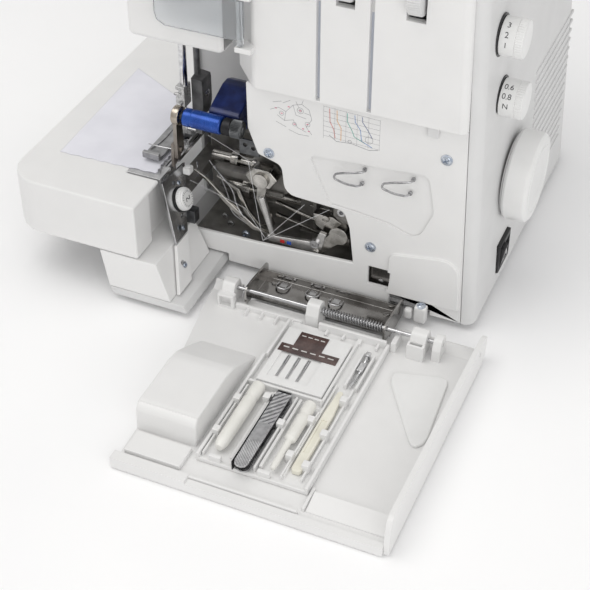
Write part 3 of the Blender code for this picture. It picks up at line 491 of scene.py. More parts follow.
def stroke(bm, points, width):
    """A printed line through (x, z) points, as a film 0.06 mm thick."""
    for (ax, az), (bx, bz) in zip(points, points[1:]):
        length = math.hypot(bx - ax, bz - az)
        line = block((-width / 2, INK_FACE - 0.06, -width / 2), (length + width / 2, INK_FACE, width / 2),
            0.0)
        add(bm, line, (ax, 0.0, az), (0.0, -math.degrees(math.atan2(bz - az, bx - ax)), 0.0))


def ring_of(x, z, radius, count=10):
    return [(x + radius * math.cos(2 * math.pi * i / count),
        z + radius * math.sin(2 * math.pi * i / count)) for i in range(count + 1)]


grey_ink, pink_ink = ink("grey_ink", (0.30, 0.30, 0.32)), ink("pink_ink", (0.75, 0.25, 0.35))
sketch = bmesh.new()
for points in ([(4, 140), (10, 143), (15, 141), (20, 147), (26, 149), (31, 146), (33, 139), (29, 133),
        (33, 128)], [(9, 137), (14, 134), (20, 136), (23, 131), (29, 129)], [(15, 141), (14, 134)],
        [(8, 132), (15, 129.5)], [(20, 147), (22, 140), (29, 139)], [(26, 149), (27, 152)],
        [(6, 146), (12, 148)], [(22, 150), (24, 146)], [(17, 128), (24, 126), (31, 126.5)],
        [(13, 147), (18, 150)], [(28, 143), (32, 142.4)]):
    stroke(sketch, points, 0.22)
for x, z, radius in ((12, 139, 1.6), (25, 144, 2.2), (21, 133, 1.4), (30, 135, 1.7), (25, 144, 1.0),
        (72, 134, 2.6), (59, 129.5, 1.2)):
    stroke(sketch, ring_of(x, z, radius), 0.2)
for number in range(7):
    level = 151.5 - 3.6 * number
    stroke(sketch, [(41, level), (79, level - 1.4)], 0.12)
for number in range(6):
    stroke(sketch, [(41 + 7.6 * number, 152 - 0.28 * number), (41 + 7.6 * number, 128)], 0.12)
stroke(sketch, [(45, 131), (50, 127.5), (60, 128.5), (72, 126.5), (78, 128)], 0.3)
settle("diagram_outlines", sketch, grey_ink, "machine")
dots = bmesh.new()
for x, z in ((12, 139), (25, 144), (21, 133), (30, 135), (8, 142), (27, 131), (17, 145), (31, 130)):
    stroke(dots, [(x - 0.35, z), (x + 0.35, z)], 0.7)
settle("diagram_dots", dots, pink_ink, "machine")
PATHS = {
    "red": ((0.66, 0.14, 0.12), [(45, 150.5), (45.4, 141), (48, 136), (49, 130)]),
    "orange": ((0.80, 0.42, 0.14), [(50, 150.3), (50.2, 143), (53, 138), (53, 129)]),
    "green": ((0.12, 0.46, 0.38), [(57, 150), (57, 144), (60, 139), (62, 134), (69, 131)]),
    "blue": ((0.14, 0.28, 0.58), [(62, 149.8), (62.4, 145), (66, 140), (67, 132), (74, 129)]),
    "navy": ((0.10, 0.14, 0.30), [(67, 149.6), (67.4, 146), (71, 141), (74, 136)]),
}
for name, (tone, points) in PATHS.items():
    film = bmesh.new()
    stroke(film, points, 0.38)
    settle(f"diagram_{name}_thread", film, ink(f"{name}_ink", tone), "machine")

# ---- Right side controls ----
# White moulded knobs on the casing's right side: two stitch dials whose outer ends are knurled, and a
# large plain handwheel with a ring groove in its face. A black rocker switch sits by the power inlet.
knob_white = finish("knob_abs", (0.775, 0.775, 0.77), (0.81, 0.81, 0.805), 0.3, depth=0.006)
charcoal = finish("charcoal_abs", (0.010, 0.010, 0.011), (0.022, 0.022, 0.024), 0.38, depth=0.02,
    grain=1500.0)
print_black = finish("dial_print", (0.02, 0.02, 0.022), (0.05, 0.05, 0.055), 0.5, depth=0.003)


def knurled(start, end, radius, teeth, deep):
    """A round grip with fine ridges along it."""
    length = (Vector(end) - Vector(start)).length
    profile = [(0.0, 0.0), (0.0, radius - 0.7), (0.6, radius), (length - 1.3, radius),
        (length - 0.4, radius - 0.5), (length, radius - 1.5), (length, 0.0)]

    def ridge(co):
        reach = math.hypot(co.x, co.y)
        if reach < radius - 0.3:
            return co
        dip = deep * 0.5 * (1.0 + math.cos(teeth * math.atan2(co.y, co.x)))
        return Vector((co.x * (1 - dip / reach), co.y * (1 - dip / reach), co.z))

    return turned(profile, start, end, teeth * 6, ridge)


def dial_digits(name, marks, x, y, z, radius, body):
    """Printed marks round a dial's barrel, each at its own angle above the front."""
    bm = bmesh.new()
    for text, angle, size in marks:
        letters = bpy.data.curves.new("letters", "FONT")
        letters.body = text
        letters.size = size
        letters.extrude = 0.03
        letters.align_x = letters.align_y = "CENTER"
        turn = math.radians(angle)
        place = (x, y - (radius + 0.03) * math.cos(turn), z + (radius + 0.03) * math.sin(turn))
        add(bm, from_curve(letters), place, (90.0 - angle, 0.0, 0.0))
    return settle(name, bm, print_black, body)


for node, x0, x1, y, z, marks in (
        ("differential_dial", 144.8, 160.0, 19.0, 162.0,
         (("0.6", 62, 5.0), ("0.8", 32, 5.0), ("N", 2, 5.0))),
        ("length_dial", 143.2, 158.0, 10.0, 209.0, (("3", 60, 5.0), ("2", 30, 5.0), ("1", 0, 5.0)))):
    dial = peg((x0, y, z), (x1 - 5.2, y, z), 12.0, edge=0.5, steps=72)
    add(dial, knurled((x1 - 5.5, y, z), (x1, y, z), 12.0, 44, 0.45))
    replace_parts(settle(node + "_body", dial, knob_white, node), node)
    dial_digits(node + "_marks", marks, (x0 + x1 - 6) / 2, y, z, 12.0, node)
    settle(node + "_seat", peg((x0 - 1.6, y, z), (x0 - 0.3, y, z), 13.4, edge=0.2, steps=64), charcoal,
        "machine")

wheel = turned([(0.0, 5.3), (0.0, 27.5), (0.6, 29.6), (2.4, 30.9), (6.0, 31.0), (13.6, 30.8), (15.6, 30.2),
    (16.9, 28.6), (17.4, 26.4), (17.4, 23.6), (17.0, 23.2), (17.0, 22.0), (17.4, 21.6), (17.3, 12.0),
    (17.0, 11.4), (17.0, 0.0), (5.0, 0.0), (5.0, 5.3), (0.0, 5.3)], (149.5, 52, 85), (170, 52, 85), 120)
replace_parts(settle("handwheel_body", wheel, knob_white, "handwheel"), "handwheel")
settle("handwheel_seat", peg((148.2, 52, 85), (149.3, 52, 85), 27, edge=0.2, steps=72), greyer_and_shaded_white,
    "machine")

moulded("power_inlet", charcoal, 0.6, 2)
moulded("power_switch", charcoal, 0.4, 2)
print_white = finish("switch_print", (0.75, 0.75, 0.75), (0.86, 0.86, 0.86), 0.5, depth=0.003)
marks = slab([(36.9, 28.6), (37.5, 28.6), (37.5, 32.6), (36.9, 32.6)], "x", 154.2, 154.75, 0.0)
hoop = turned([(0.0, 1.5), (0.0, 2.0), (0.5, 2.0), (0.5, 1.5), (0.0, 1.5)], (152.2, 37.2, 21.5),
    (153.5, 37.2, 21.2))
settle("switch_marks", add(marks, hoop), print_white, "power_switch")
for y0 in (47.0, 51.2):
    settle(f"inlet_pin_{int(y0)}", peg((138.0, y0, 26), (149.5, y0, 26), 1.1, edge=0.4), steel, "machine")
moulded("motor", charcoal, 0.6, 2)

# ---- Cooling vents ----
# A panel of level louvres moulded in the casing's right side, beside the motor, each a thin raised
# blade. The panel leans in with the casing, so each blade is a little shorter than the one below.
vents = bmesh.new()
for number in range(15):
    level = 34.0 + 7.0 * number
    narrow = 1 - 0.047 * (level - 5) / 257
    add(vents, block((-1.0, 106.0 * narrow, -1.2), (0.8, (188.0 + 1.2 * number) * narrow, 1.2), 0.45),
        (-84 + 235 * narrow, 0.0, level), (0.0, -2.5, 0.0))
settle("vent_louvres", vents, greyer_and_shaded_white, "machine")

# ---- Test cloth ----
# A test piece of plain white cotton laid on the table and under the presser foot: cut square, its
# right edge trimmed by the knife, so that edge is ragged. It lies flat and rises a little over the plate.
CLOTH_FRONT_LEFT, CLOTH_REAR_LEFT = Vector((-146.0, -41.0)), Vector((-149.6, 79.0))
CLOTH_FRONT_RIGHT, CLOTH_REAR_RIGHT = Vector((-73.5, -38.5)), Vector((-77.0, 40.0))
CLOTH_THICKNESS, WEAVE_SCALE = 0.25, 450.0


def cotton():
    """Plain weave: crossed threads at 0.35 mm with a soft fibre sheen."""
    look = finish("white_cotton", (0.72, 0.72, 0.78), (0.79, 0.79, 0.85), 0.85, patch=30.0, grain=900.0,
        depth=0.03, Sheen_Weight=0.35, Sheen_Roughness=0.5)
    tree = look.node_tree
    place = shader_node(tree, "TexCoord").outputs["Object"]
    warp_and_weft = []
    for turn in (0.0, math.pi / 2):
        lay = shader_node(tree, "Mapping", {"Vector": place}, Rotation=(0.0, 0.0, turn + 0.03))
        warp_and_weft.append(shader_node(tree, "TexWave", {"Vector": lay.outputs["Vector"]},
            Scale=WEAVE_SCALE, Distortion=0.6).outputs["Fac"])
    both = shader_node(tree, "Math", dict(enumerate(warp_and_weft)))
    both.operation = "MAXIMUM"
    weave = shader_node(tree, "Bump", {"Height": both.outputs["Value"]}, Distance=0.05 * MM, Strength=0.5)
    tree.links.new(weave.outputs["Normal"], tree.nodes["Principled BSDF"].inputs["Normal"])
    return look


TABLE_TOP, PLATE_RISE, TEETH_RISE = 80.22, 0.36, 0.55


def cloth_height(x, y):
    """How high the cloth lies: on the table, over the plate's rim, and over the teeth under the foot."""
    over_plate = min(max((x + 98.0) / 8.0, 0.0), 1.0) * min(max((y + 50.0) / 8.0, 0.0), 1.0)
    over_teeth = math.exp(-((x + 82.0) / 5.0) ** 2) * min(max((y + 14.0) / 8.0, 0.0), 1.0)
    lift = over_plate * over_plate * (3 - 2 * over_plate)
    return TABLE_TOP + PLATE_RISE * lift + TEETH_RISE * over_teeth


cloth = bmesh.new()
bmesh.ops.create_grid(cloth, x_segments=90, y_segments=130, size=0.5)
for vert in cloth.verts:
    u, v = vert.co.x + 0.5, vert.co.y + 0.5
    front = CLOTH_FRONT_LEFT.lerp(CLOTH_FRONT_RIGHT, u)
    rear = CLOTH_REAR_LEFT.lerp(CLOTH_REAR_RIGHT, u)
    flat = front.lerp(rear, v)
    if u > 0.995:
        flat.x += 0.9 * math.sin(57.0 * v) * math.sin(31.0 * v + 1.0)
    if v < 0.004:
        flat.y += 0.35 * math.sin(41.0 * u)
    ripple = 0.05 * math.sin(0.11 * flat.x + 0.4) * math.sin(0.07 * flat.y)
    vert.co = Vector((flat.x, flat.y, cloth_height(flat.x, flat.y) + abs(ripple)))
test_cloth = settle("test_cloth", cloth, cotton(), "machine", sharp=60.0)
thick = test_cloth.modifiers.new("cloth_thickness", "SOLIDIFY")
thick.thickness = CLOTH_THICKNESS * MM
thick.offset = 1.0
fray = bmesh.new()
for number in range(26):
    y = -36.0 + 2.9 * number
    x = -73.9 - 0.045 * (y + 38.5)
    reach = 1.4 + 1.3 * abs(math.sin(7.3 * number))
    z = cloth_height(x, y) + 0.15
    add(fray, wire([(x - 0.6, y, z), (x + reach * 0.5, y + 0.5 * math.sin(number), z + 0.1),
        (x + reach, y + math.sin(3.1 * number), z + 0.05)], 0.07, round_sides=1))
settle("cloth_fray", fray, cotton(), "machine")

# ---- Needle bar and presser bar ----
# Ground steel needle bar with its two-needle clamp, and the grey phosphated presser bar behind it with
# its holder. The pressed steel foot has a round toe bar, two edge wires and a spring pin.
guard = finish("dark_satin_steel", (0.10, 0.105, 0.11), (0.17, 0.175, 0.18), 0.36, 0.9, patch=160.0,
    depth=0.01)
foot_steel = finish("foot_steel", (0.26, 0.26, 0.265), (0.42, 0.42, 0.425), 0.3, 0.85, patch=160.0,
    depth=0.008)
bar_grey = finish("phosphated_grey", (0.11, 0.11, 0.112), (0.19, 0.19, 0.194), 0.4, 0.7, patch=140.0,
    depth=0.012)
oxide = finish("black_oxide", (0.02, 0.02, 0.022), (0.05, 0.05, 0.054), 0.4, 0.8, patch=120.0, depth=0.02)
needle_bar = turned([(0.0, 0.0), (0.0, 2.7), (46.0, 2.7), (46.3, 2.4), (47.5, 2.4), (47.8, 2.7),
    (116.0, 2.7), (116, 0.0)], (-70.2, 3, 120), (-70.2, 3, 236), 40)
settle("needle_bar_rod", needle_bar, chrome, "needle_bar")
clamp = carved(block((-74.6, -2.0, 112.0), (-67.6, 8.0, 128.0), 0.8, 3),
    block((-76, -4, 119), (-71.6, 2.6, 125.5), 0.3))
add(clamp, peg((-71.0, -4.6, 115.2), (-71.0, -1.6, 115.2), 1.7, edge=0.35))
add(clamp, peg((-71.0, -2.6, 126.0), (-71.0, -1.0, 126.0), 1.1, edge=0.2))
add(clamp, wire([(-73.5, -1.5, 121), (-74.3, -3.8, 123), (-72.5, -4.6, 125), (-70.6, -3.0, 124),
    (-70.4, -1.4, 121)], 0.35))
clamp_grey = finish("clamp_grey", (0.52, 0.52, 0.52), (0.68, 0.68, 0.68), 0.28, 0.8, patch=200.0,
    depth=0.012)
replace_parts(settle("needle_clamp", clamp, clamp_grey, "needle_bar"), "needle_bar")
for node, x, tip in (("needle_left", -72.6, 85.5), ("needle_right", -69.8, 87.5)):
    needle = turned([(0.0, 0.0), (1.6, 0.3), (3.5, 0.42), (18.0, 0.5), (20.0, 0.9), (111.7 - tip, 0.9),
        (111.7 - tip, 0.0)], (x, 3, tip), (x, 3, 111.7), 20)
    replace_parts(settle(node + "_blade", needle, chrome, "needle_bar"), node)
moulded("presser_bar", bar_grey, 0.4, 2)
moulded("presser_foot", foot_steel, 0.35, 2)
cross_screw("foot_holder_screw", (-59.45, 15.5, 117.0), (1, -0.2, 0), 2.1, "presser", steel)
toe = wire([(-89.6, -16.4, 86.6), (-81.0, -17.6, 87.4), (-71.6, -15.6, 86.6)], 0.5)
add(toe, wire([(-86.5, -20, 85.6), (-84.0, -10, 85.4), (-84.0, 8, 85.4), (-86.0, 24, 85.4)], 0.35))
add(toe, peg((-74.0, 9.5, 88.0), (-66.0, 9.5, 88.0), 1.2, edge=0.25))
settle("foot_spring", toe, steel, "presser")

# ---- Knife, knob and lever ----
# The upper knife swings on a cross shaft. A bright blue anodised sleeve and a knurled steel nut lift
# it out of the way; a navy painted casting drives it from the frame.
bronze = finish("honed_bronze_steel", (0.38, 0.33, 0.27), (0.55, 0.50, 0.44), 0.25, 1.0, patch=120.0,
    depth=0.01)
blade_steel = finish("tempered_blade", (0.20, 0.17, 0.15), (0.36, 0.33, 0.30), 0.3, 1.0, patch=90.0,
    depth=0.01)
anodised = finish("blue_anodised", (0.006, 0.045, 0.27), (0.014, 0.085, 0.42), 0.27, 0.5, patch=90.0,
    grain=2600.0, depth=0.006, Coat_Weight=0.25, Coat_Roughness=0.15)
navy = finish("navy_enamel", (0.005, 0.012, 0.075), (0.012, 0.030, 0.17), 0.3, 0.2, patch=120.0,
    grain=1600.0, depth=0.012, Coat_Weight=0.3, Coat_Roughness=0.2)
SHAFT_Y, SHAFT_Z = -22.0, 120.0


def on_shaft(x):
    return (x, SHAFT_Y, SHAFT_Z)


shaft = peg(on_shaft(-66), on_shaft(-14.3), 2.5, edge=0.4)
add(shaft, carved(knurled(on_shaft(-22.5), on_shaft(-15), 6.2, 36, 0.6),
    peg(on_shaft(-18.5), on_shaft(-10), 1.7, edge=0.1, steps=24)))
settle("knife_shaft", shaft, guard, "upper_knife")
collar = turned([(0.0, 2.4), (0.0, 4.6), (0.5, 5.9), (1.2, 6.6), (4.6, 6.8), (5.6, 6.3), (6.1, 5.2),
    (6.1, 2.4), (0.0, 2.4)], on_shaft(-65.6), on_shaft(-59.5), 64)
settle("knife_collar", collar, bronze, "upper_knife")
settle("nut_washer", turned([(0.0, 2.4), (0.0, 5.6), (0.6, 5.9), (5.0, 5.9), (5.6, 5.5), (5.6, 2.4),
    (0.0, 2.4)], on_shaft(-28.4), on_shaft(-22.5), 56), oxide, "upper_knife")
arm = slab([(-26.5, 116), (-23, 118.5), (-18, 116.5), (-17, 90), (-27, 88)], "x", -64.5, -61.6, 0.5)
add(arm, slab([(-28, 81.5), (-17.5, 84), (-17.5, 99), (-27, 99)], "x", -66.4, -64.3, 0.2))
add(arm, peg((-66.0, -22.2, 93.5), (-60.2, -22.2, 93.5), 2.0, edge=0.4))
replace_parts(settle("knife_arm", arm, blade_steel, "upper_knife"), "upper_knife")
sleeve = turned([(0.0, 3.0), (0.0, 5.4), (0.7, 6.2), (4.5, 6.3), (5.2, 5.9), (6.2, 5.9), (6.9, 6.3),
    (26.4, 6.3), (27.3, 5.8), (27.8, 5.0), (27.8, 3.0), (0.0, 3.0)], on_shaft(-57.2), on_shaft(-29.4), 72)
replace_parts(settle("knife_sleeve", sleeve, anodised, "upper_knife"), "knife_knob")
lever = carved(slab([(-15, 115), (-15, 123.5), (-12, 126), (7, 133), (14, 133.2), (20, 130.5), (29, 124.5),
    (30, 121), (30, 113), (27, 110.5), (8, 104.6), (-4, 108)], "x", -43.5, -21.0, 1.3, 3),
    block((-45, -11, 113), (-24.5, 27, 126), 0.5))
for y in (-6.0, 0.0, 6.0, 12.0, 18.0, 24.0):
    add(lever, block((-22.0, y - 0.8, 110.5), (-20.6, y + 0.8, 124.5 if 2 < y < 20 else 120.0), 0.3))
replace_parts(settle("knife_lever_casting", lever, navy, "upper_knife"), "knife_lever")
settle("lever_link", turned([(0.0, 4.6), (0.0, 8.8), (0.6, 9.4), (3.4, 9.4), (4.0, 8.8), (4.0, 4.6),
    (0.0, 4.6)], (-20.2, 21.5, 103), (-16.2, 21.5, 103), 48), guard, "upper_knife")

# ---- Stitch width bracket ----
# A pressed steel bracket bolted to the column carries the white stitch width dial, which has a ring of
# fine marks and a wave sign, and the small white button of the stitch finger above it.
OUT = Vector((math.cos(math.radians(22)), 0.0, math.sin(math.radians(22))))
HUB = Vector((-58.2, -31.7, 59.0))
dial = knurled(HUB + OUT * 0.2, HUB + OUT * 4.4, 8.2, 32, 0.35)
add(dial, turned([(0.0, 0.0), (0.0, 6.9), (0.7, 6.7), (1.0, 6.2), (1.0, 0.0)], HUB + OUT * 4.3,
    HUB + OUT * 5.3, 64))
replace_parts(settle("width_dial_body", dial, knob_white, "width_dial"), "width_dial")
scale_marks = bmesh.new()
for number in range(20):
    tick = block((-0.16, 4.6, 0.0), (0.16, 6.0 if number % 5 else 5.4, 0.08), 0.0)
    bmesh.ops.rotate(tick, verts=tick.verts, cent=(0, 0, 0), matrix=Matrix.Rotation(math.tau * number / 20,
        3, "Z"))
    add(scale_marks, tick)
add(scale_marks, wire([(-2.6, -1.2, 0.05), (-1.2, 0.9, 0.05), (0.0, 0.0, 0.05), (1.2, -0.9, 0.05),
    (2.6, 1.2, 0.05)], 0.3))
bmesh.ops.transform(scale_marks, matrix=aimed(HUB + OUT * 5.28, OUT), verts=scale_marks.verts)
settle("width_dial_marks", scale_marks, print_black, "width_dial")
settle("width_dial_seat", turned([(0.0, 0.0), (0.0, 8.9), (0.5, 8.9), (0.5, 0.0)], HUB - OUT * 0.5, HUB,
    48), charcoal, "machine")
button = block((-3.0, -3.2, -2.2), (2.6, 3.4, 3.2), 1.1, 3)
add(button, peg((0, 0, 2.6), (0, 0, 3.8), 2.0, edge=0.4))
bmesh.ops.transform(button, matrix=Matrix.Translation((-60.4, -16.0, 72.2)), verts=button.verts)
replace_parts(settle("stitch_finger_button", button, knob_white, "stitch_finger_lever"),
    "stitch_finger_lever")
settle("column_block", block((-60.0, -30.0, 38.6), (-49.8, -22.5, 49.0), 0.8), guard, "machine")

# ---- Loopers and frame fittings ----
# Hardened steel loopers on their rocking arms inside the dark cast frame, with the clamp block, cap
# screws and collars that hold their shafts. The castings are machined bright on their edges.
looper_steel = finish("looper_steel", (0.34, 0.33, 0.31), (0.60, 0.58, 0.55), 0.22, 1.0, patch=140.0,
    depth=0.008)
bar_steel = finish("bright_bar_steel", (0.55, 0.54, 0.53), (0.74, 0.73, 0.72), 0.25, 0.9, patch=140.0,
    depth=0.006)
moulded("lower_looper", looper_steel, 0.5, 2)
moulded("upper_looper", looper_steel, 0.5, 2)


def cap_screw(bm, place, out, radius, tall):
    """A cylinder head with a hexagon socket."""
    start, out = Vector(place), Vector(out).normalized()
    head = peg(start, start + out * tall, radius, edge=0.35)
    socket = peg(start + out * (tall - radius * 0.9), start + out * (tall + 2), radius * 0.52, edge=0.05,
        steps=6)
    return add(bm, carved(head, socket))


fittings = bmesh.new()
for place, out, radius, tall in (((33.5, -12.6, 36.2), (0, -1, 0), 3.3, 3.0),
        ((-40, -1.0, 30), (0, -1, 0), 2.2, 1.8), ((51, -8.0, 65), (0, -1, 0), 3.2, 3.0),
        ((62.5, 4.0, 64), (0.9, -0.2, 0.1), 2.6, 3.0), ((-36, -1.0, 24), (0, -1, 0.2), 2.6, 2.0),
        ((22, 15.0, 60), (0, -1, 0), 2.6, 2.4), ((2, 1.5, 92), (0, -1, 0), 2.6, 2.0),
        ((-15, 1.5, 62), (0, -1, 0), 2.4, 2.0)):
    cap_screw(fittings, place, out, radius, tall)
settle("frame_screws", fittings, steel, "machine")
boss = slab([(-7.3 + 12.4 * math.cos(math.radians(turn)),
    77.0 + 8.4 * math.sin(math.radians(turn))) for turn in (8, 58, 118, 176, 232, 300)], "y", -12.0, -1.5,
    1.2, 3)
add(boss, peg((-7.2, -11.0, 76.3), (-7.2, -14.2, 76.3), 5.8, edge=0.6))
add(boss, slab([(29.0, 56.5), (44.0, 56.8), (56.0, 50.0), (56.5, 36.0), (50.0, 34.5), (31.0, 47.0)], "y",
    -7.6, -0.5, 1.0))
add(boss, peg((38.9, -7.0, 54.9), (38.9, -9.0, 54.9), 2.6, edge=0.3))
settle("clamp_blocks", boss, looper_steel, "machine")
bars = peg((-7.0, -12.2, 63.0), (1.2, -12.2, 32.3), 2.6, 2.1, edge=0.5)
add(bars, slab([(-2.6, 32.4), (-2.0, 27.4), (31.0, 27.8), (38.4, 31.4), (41.4, 45.2), (36.6, 46.2),
    (33.4, 38.4), (30.0, 36.0)], "y", -13.6, -10.4, 0.7, 3))
settle("looper_bars", bars, bar_steel, "machine")
shafts = peg((-60, 22, 62), (-12, 22, 62), 4.5, edge=0.5)
add(shafts, peg((-44, 22, 62), (-38, 22, 62), 8.0, edge=0.8))
add(shafts, peg((-28, 22, 62), (-20, 22, 62), 7.2, edge=0.8))
add(shafts, peg((-58, 30, 34), (8, 30, 34), 3.5, edge=0.4))
add(shafts, peg((-40, 30, 34), (-33, 30, 34), 7.5, edge=0.6))
settle("feed_shafts", shafts, looper_steel, "machine")
ledges = blocks((((-58.0, -14.9, 20.0), (64.0, -13.6, 21.4), 0.3),
    ((-58.0, -10.5, 20.0), (64.0, -9.3, 21.0), 0.3), ((18.0, 13.2, 54.0), (64.0, 16.0, 56.2), 0.4),
    ((18.0, 13.8, 44.0), (64.0, 16.0, 45.4), 0.3)))
for z in (51.3, 41.0):
    add(ledges, block((-18.0, -0.9, -1.1), (18.0, 1.5, 1.1), 0.5), (15.6, 0.5, z - 3.5), (0.0, 12.5, 0.0))
settle("frame_edges", ledges, looper_steel, "machine")
lugs = block((-14.0, -1.5, 88.0), (-2.0, 2.2, 98.0), 1.6, 3)
blocks((((-16.0, -0.5, 56.0), (4.0, 2.4, 60.0), 1.0), ((-52.0, 6.0, 58.0), (-24.0, 14.0, 64.0), 1.4),
    ((40.0, -6.0, 52.0), (64.0, 6.0, 57.0), 1.4)), lugs)
add(lugs, block((8.0, 4.0, 66.0), (18.0, 16.0, 84.0), 1.8, 3))
settle("frame_lugs", lugs, casting, "machine")
guide = carved(block((-27.0, -3.6, 88.0), (-12.0, -2.2, 100.0), 0.4),
    add(peg((-22.5, -8, 95.5), (-22.5, 4, 95.5), 1.6, edge=0.1),
    peg((-16.5, -8, 94.0), (-16.5, 4, 94.0), 1.6, edge=0.1)))
settle("looper_thread_plate", guide, guard, "machine")
take_up = wire([(-50, -4, 76), (-44, -8, 74), (-36, -10, 68), (-30, -10, 60), (-26, -12, 50),
    (-20, -13.5, 42)], 0.45)
add(take_up, wire([(-48, 0, 70), (-40, -6, 64), (-34, -9, 54), (-30, -12, 44), (-18, -14, 38)], 0.4))
add(take_up, wire([(-57, -9, 76), (-55.6, -11, 73), (-57, -9, 70), (-55.4, -11, 67), (-57, -9, 64)], 0.4))
settle("thread_guides", take_up, guide_steel, "machine")
for name, tone, x in (("red_thread_mark", (0.60, 0.03, 0.03), 9.0),
        ("blue_thread_mark", (0.03, 0.10, 0.50), 14.0)):
    dab = finish(name + "_paint", tuple(0.8 * shade for shade in tone), tone, 0.35, depth=0.005)
    settle(name, block((x - 1.6, -13.85, 29.0), (x + 1.6, -13.55, 31.6), 0.12), dab, "machine")
for node in ("main_feed_dog", "differential_feed_dog"):
    moulded(node, steel, 0.1, 2)

# ---- Looper threads ----
# White spun polyester threads, 0.26 mm thick, run from the guides to the loopers, and two more run down
# beside the needles and travel with their bar.
polyester = finish("polyester_thread", (0.70, 0.70, 0.72), (0.88, 0.88, 0.90), 0.7, patch=900.0,
    grain=4000.0, depth=0.02, Sheen_Weight=0.3)
THREAD_RADIUS = 0.13
strands = bmesh.new()
for points in ([(-44.3, -15, 104.7), (-15.1, -15, 92.5), (-5.1, -15.4, 28.1)],
        [(-5, -15.4, 28), (26.5, -16, 68.2)], [(-5, -15.4, 28), (44.5, -16, 69.3)],
        [(-60, -15, 63.7), (-18.3, -15, 51.8), (-3.5, -15.4, 31.2)]):
    add(strands, wire(points, THREAD_RADIUS, False, 1))
settle("looper_threads", strands, polyester, "machine")
strands = bmesh.new()
for points in ([(-72.6, 2.4, 92), (-72.6, 2.3, 109), (-73.6, -2.6, 113)],
        [(-69.8, 2.4, 92), (-69.8, 2.3, 109), (-71.5, -3.6, 123)]):
    add(strands, wire(points, THREAD_RADIUS, False, 1))
settle("needle_threads", strands, polyester, "needle_bar")

# ---- Head details ----
# A clear acrylic finger guard hangs in front of the needles on a steel pivot, in a shallow recess of
# the head. Four grey tension wheels stand in slots above, knurled round their rims.
acrylic = finish("clear_acrylic", (0.78, 0.81, 0.84), (0.86, 0.88, 0.90), 0.05, patch=30.0, depth=0.0005,
    spread=0.02, Transmission_Weight=0.85, IOR=1.49, Coat_Weight=0.2)
guard_shape = slab([(-70, 199), (-68.5, 194), (-63, 191), (-14, 191), (-8.6, 193.5), (-8.2, 199),
    (-8.2, 219), (-69.4, 219)], "y", -31.4, -29.2, 0.5)
add(guard_shape, peg((-11, -30.2, 188), (-11, -30.2, 220), 2.2, edge=0.4))
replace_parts(settle("eye_shield_sheet", guard_shape, acrylic, "eye_shield"), "eye_shield")
for number, x in enumerate((6.0, 27.0, 56.0, 100.0), start=1):
    wheel = knurled((x - 4.5, -21, 242), (x + 4.5, -21, 242), 13.0, 48, 0.6)
    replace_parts(settle(f"tension_wheel_{number}", wheel, greyer_and_shaded_white, f"tension_dial_{number}"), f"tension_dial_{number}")
groove_shade_grey = finish("groove_shadow_grey", (0.50, 0.53, 0.60), (0.56, 0.59, 0.66), 0.5, depth=0.012)
# Thin blue-grey sheets in the head's two thread grooves: painted shade standing in for the shadow inside the
# grooves.
painted_shade_sheets = bmesh.new()
for x in (39.0, 73.0):
    add(painted_shade_sheets, block((x - 1.32, -22.6, 158.4), (x + 1.32, -22.45, 225.0), 0.0))
settle("thread_groove_painted_shade", painted_shade_sheets, groove_shade_grey, "machine")
clip = slab([(110.0, 148.6), (117.6, 148.0), (118.0, 154.5), (115.6, 156.5), (110.6, 156.5)], "y", -22.4,
    -20.3, 0.4)
settle("head_clip", clip, greyer_and_shaded_white, "machine")
thread_lugs = bmesh.new()
for x in (-48, 0, 48, 94):
    add(thread_lugs, turned([(0.0, 2.7), (0.0, 9.0), (2.0, 9.5), (4.0, 7.0), (26.0, 4.4), (30.0, 2.7),
        (0.0, 2.7)], (x, 178, 286.2), (x, 178, 320), 40))
settle("cone_holders", thread_lugs, greyer_and_shaded_white, "machine")
moulded("presser_lifter", oxide, 0.8, 3)
rubber = finish("foot_rubber", (0.012, 0.012, 0.012), (0.03, 0.03, 0.03), 0.85, depth=0.06, grain=700.0)
for corner, (x, y) in {"front_left": (-58, -66), "front_right": (132, -2), "rear_left": (-66, 204),
        "rear_right": (132, 204)}.items():
    pad = turned([(0.0, 0.0), (0.0, 5.6), (0.3, 6.2), (1.0, 6.7), (3.2, 7.6), (4.0, 7.6), (4.0, 0.0)],
        (x, y, 0), (x, y, 4), 40)
    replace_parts(settle(f"rubber_foot_{corner}", pad, rubber, "machine"), f"foot_{corner}")

# ---- Hinge ----
# The looper cover turns on a steel rod through a nickel plated bracket with two ears. A coil spring
# round the rod pulls the cover to the left, so that it locks when it is closed.
ROD_Y, ROD_Z = -55.0, 15.5
hinge_pin = settle("hinge_pin", peg((-16, ROD_Y, ROD_Z), (140, ROD_Y, ROD_Z), 1.45, edge=0.3), steel,
    "hinge_rod")
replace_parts(hinge_pin, "hinge_rod")
TURNS, COIL_START, COIL_END, COIL_R = 22, 57.2, 99.8, 2.75
helix = []
for step in range(TURNS * 16 + 1):
    turn = math.tau * step / 16
    helix.append((COIL_START + (COIL_END - COIL_START) * step / (TURNS * 16),
        ROD_Y + COIL_R * math.cos(turn), ROD_Z + COIL_R * math.sin(turn)))
spring = settle("return_spring", wire(helix, 0.5, False, 2), guide_steel, "hinge_rod", 60.0)
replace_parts(spring, "hinge_spring")
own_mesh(spring)
clips = bmesh.new()
for x, y in ((17.0, -30.0), (39.0, -30.0), (57.0, -32.0)):
    add(clips, wire([(x - 4.5, y + 3, 5.2), (x - 3.6, y - 4, 6.6), (x, y - 5.4, 7.0), (x + 3.6, y - 4, 6.6),
        (x + 4.5, y + 3, 5.2)], 0.7))
    add(clips, block((x - 2.5, y - 1.5, 4.6), (x + 2.5, y + 3.5, 5.6), 0.3))
settle("bracket_clips", clips, steel, "machine")
settle("bracket_rivets", add(peg((10, -29, 4.5), (10, -29, 5.6), 2.4, edge=0.4),
    peg((93, -29, 4.5), (93, -29, 5.6), 2.4, edge=0.4)), nickel, "machine")
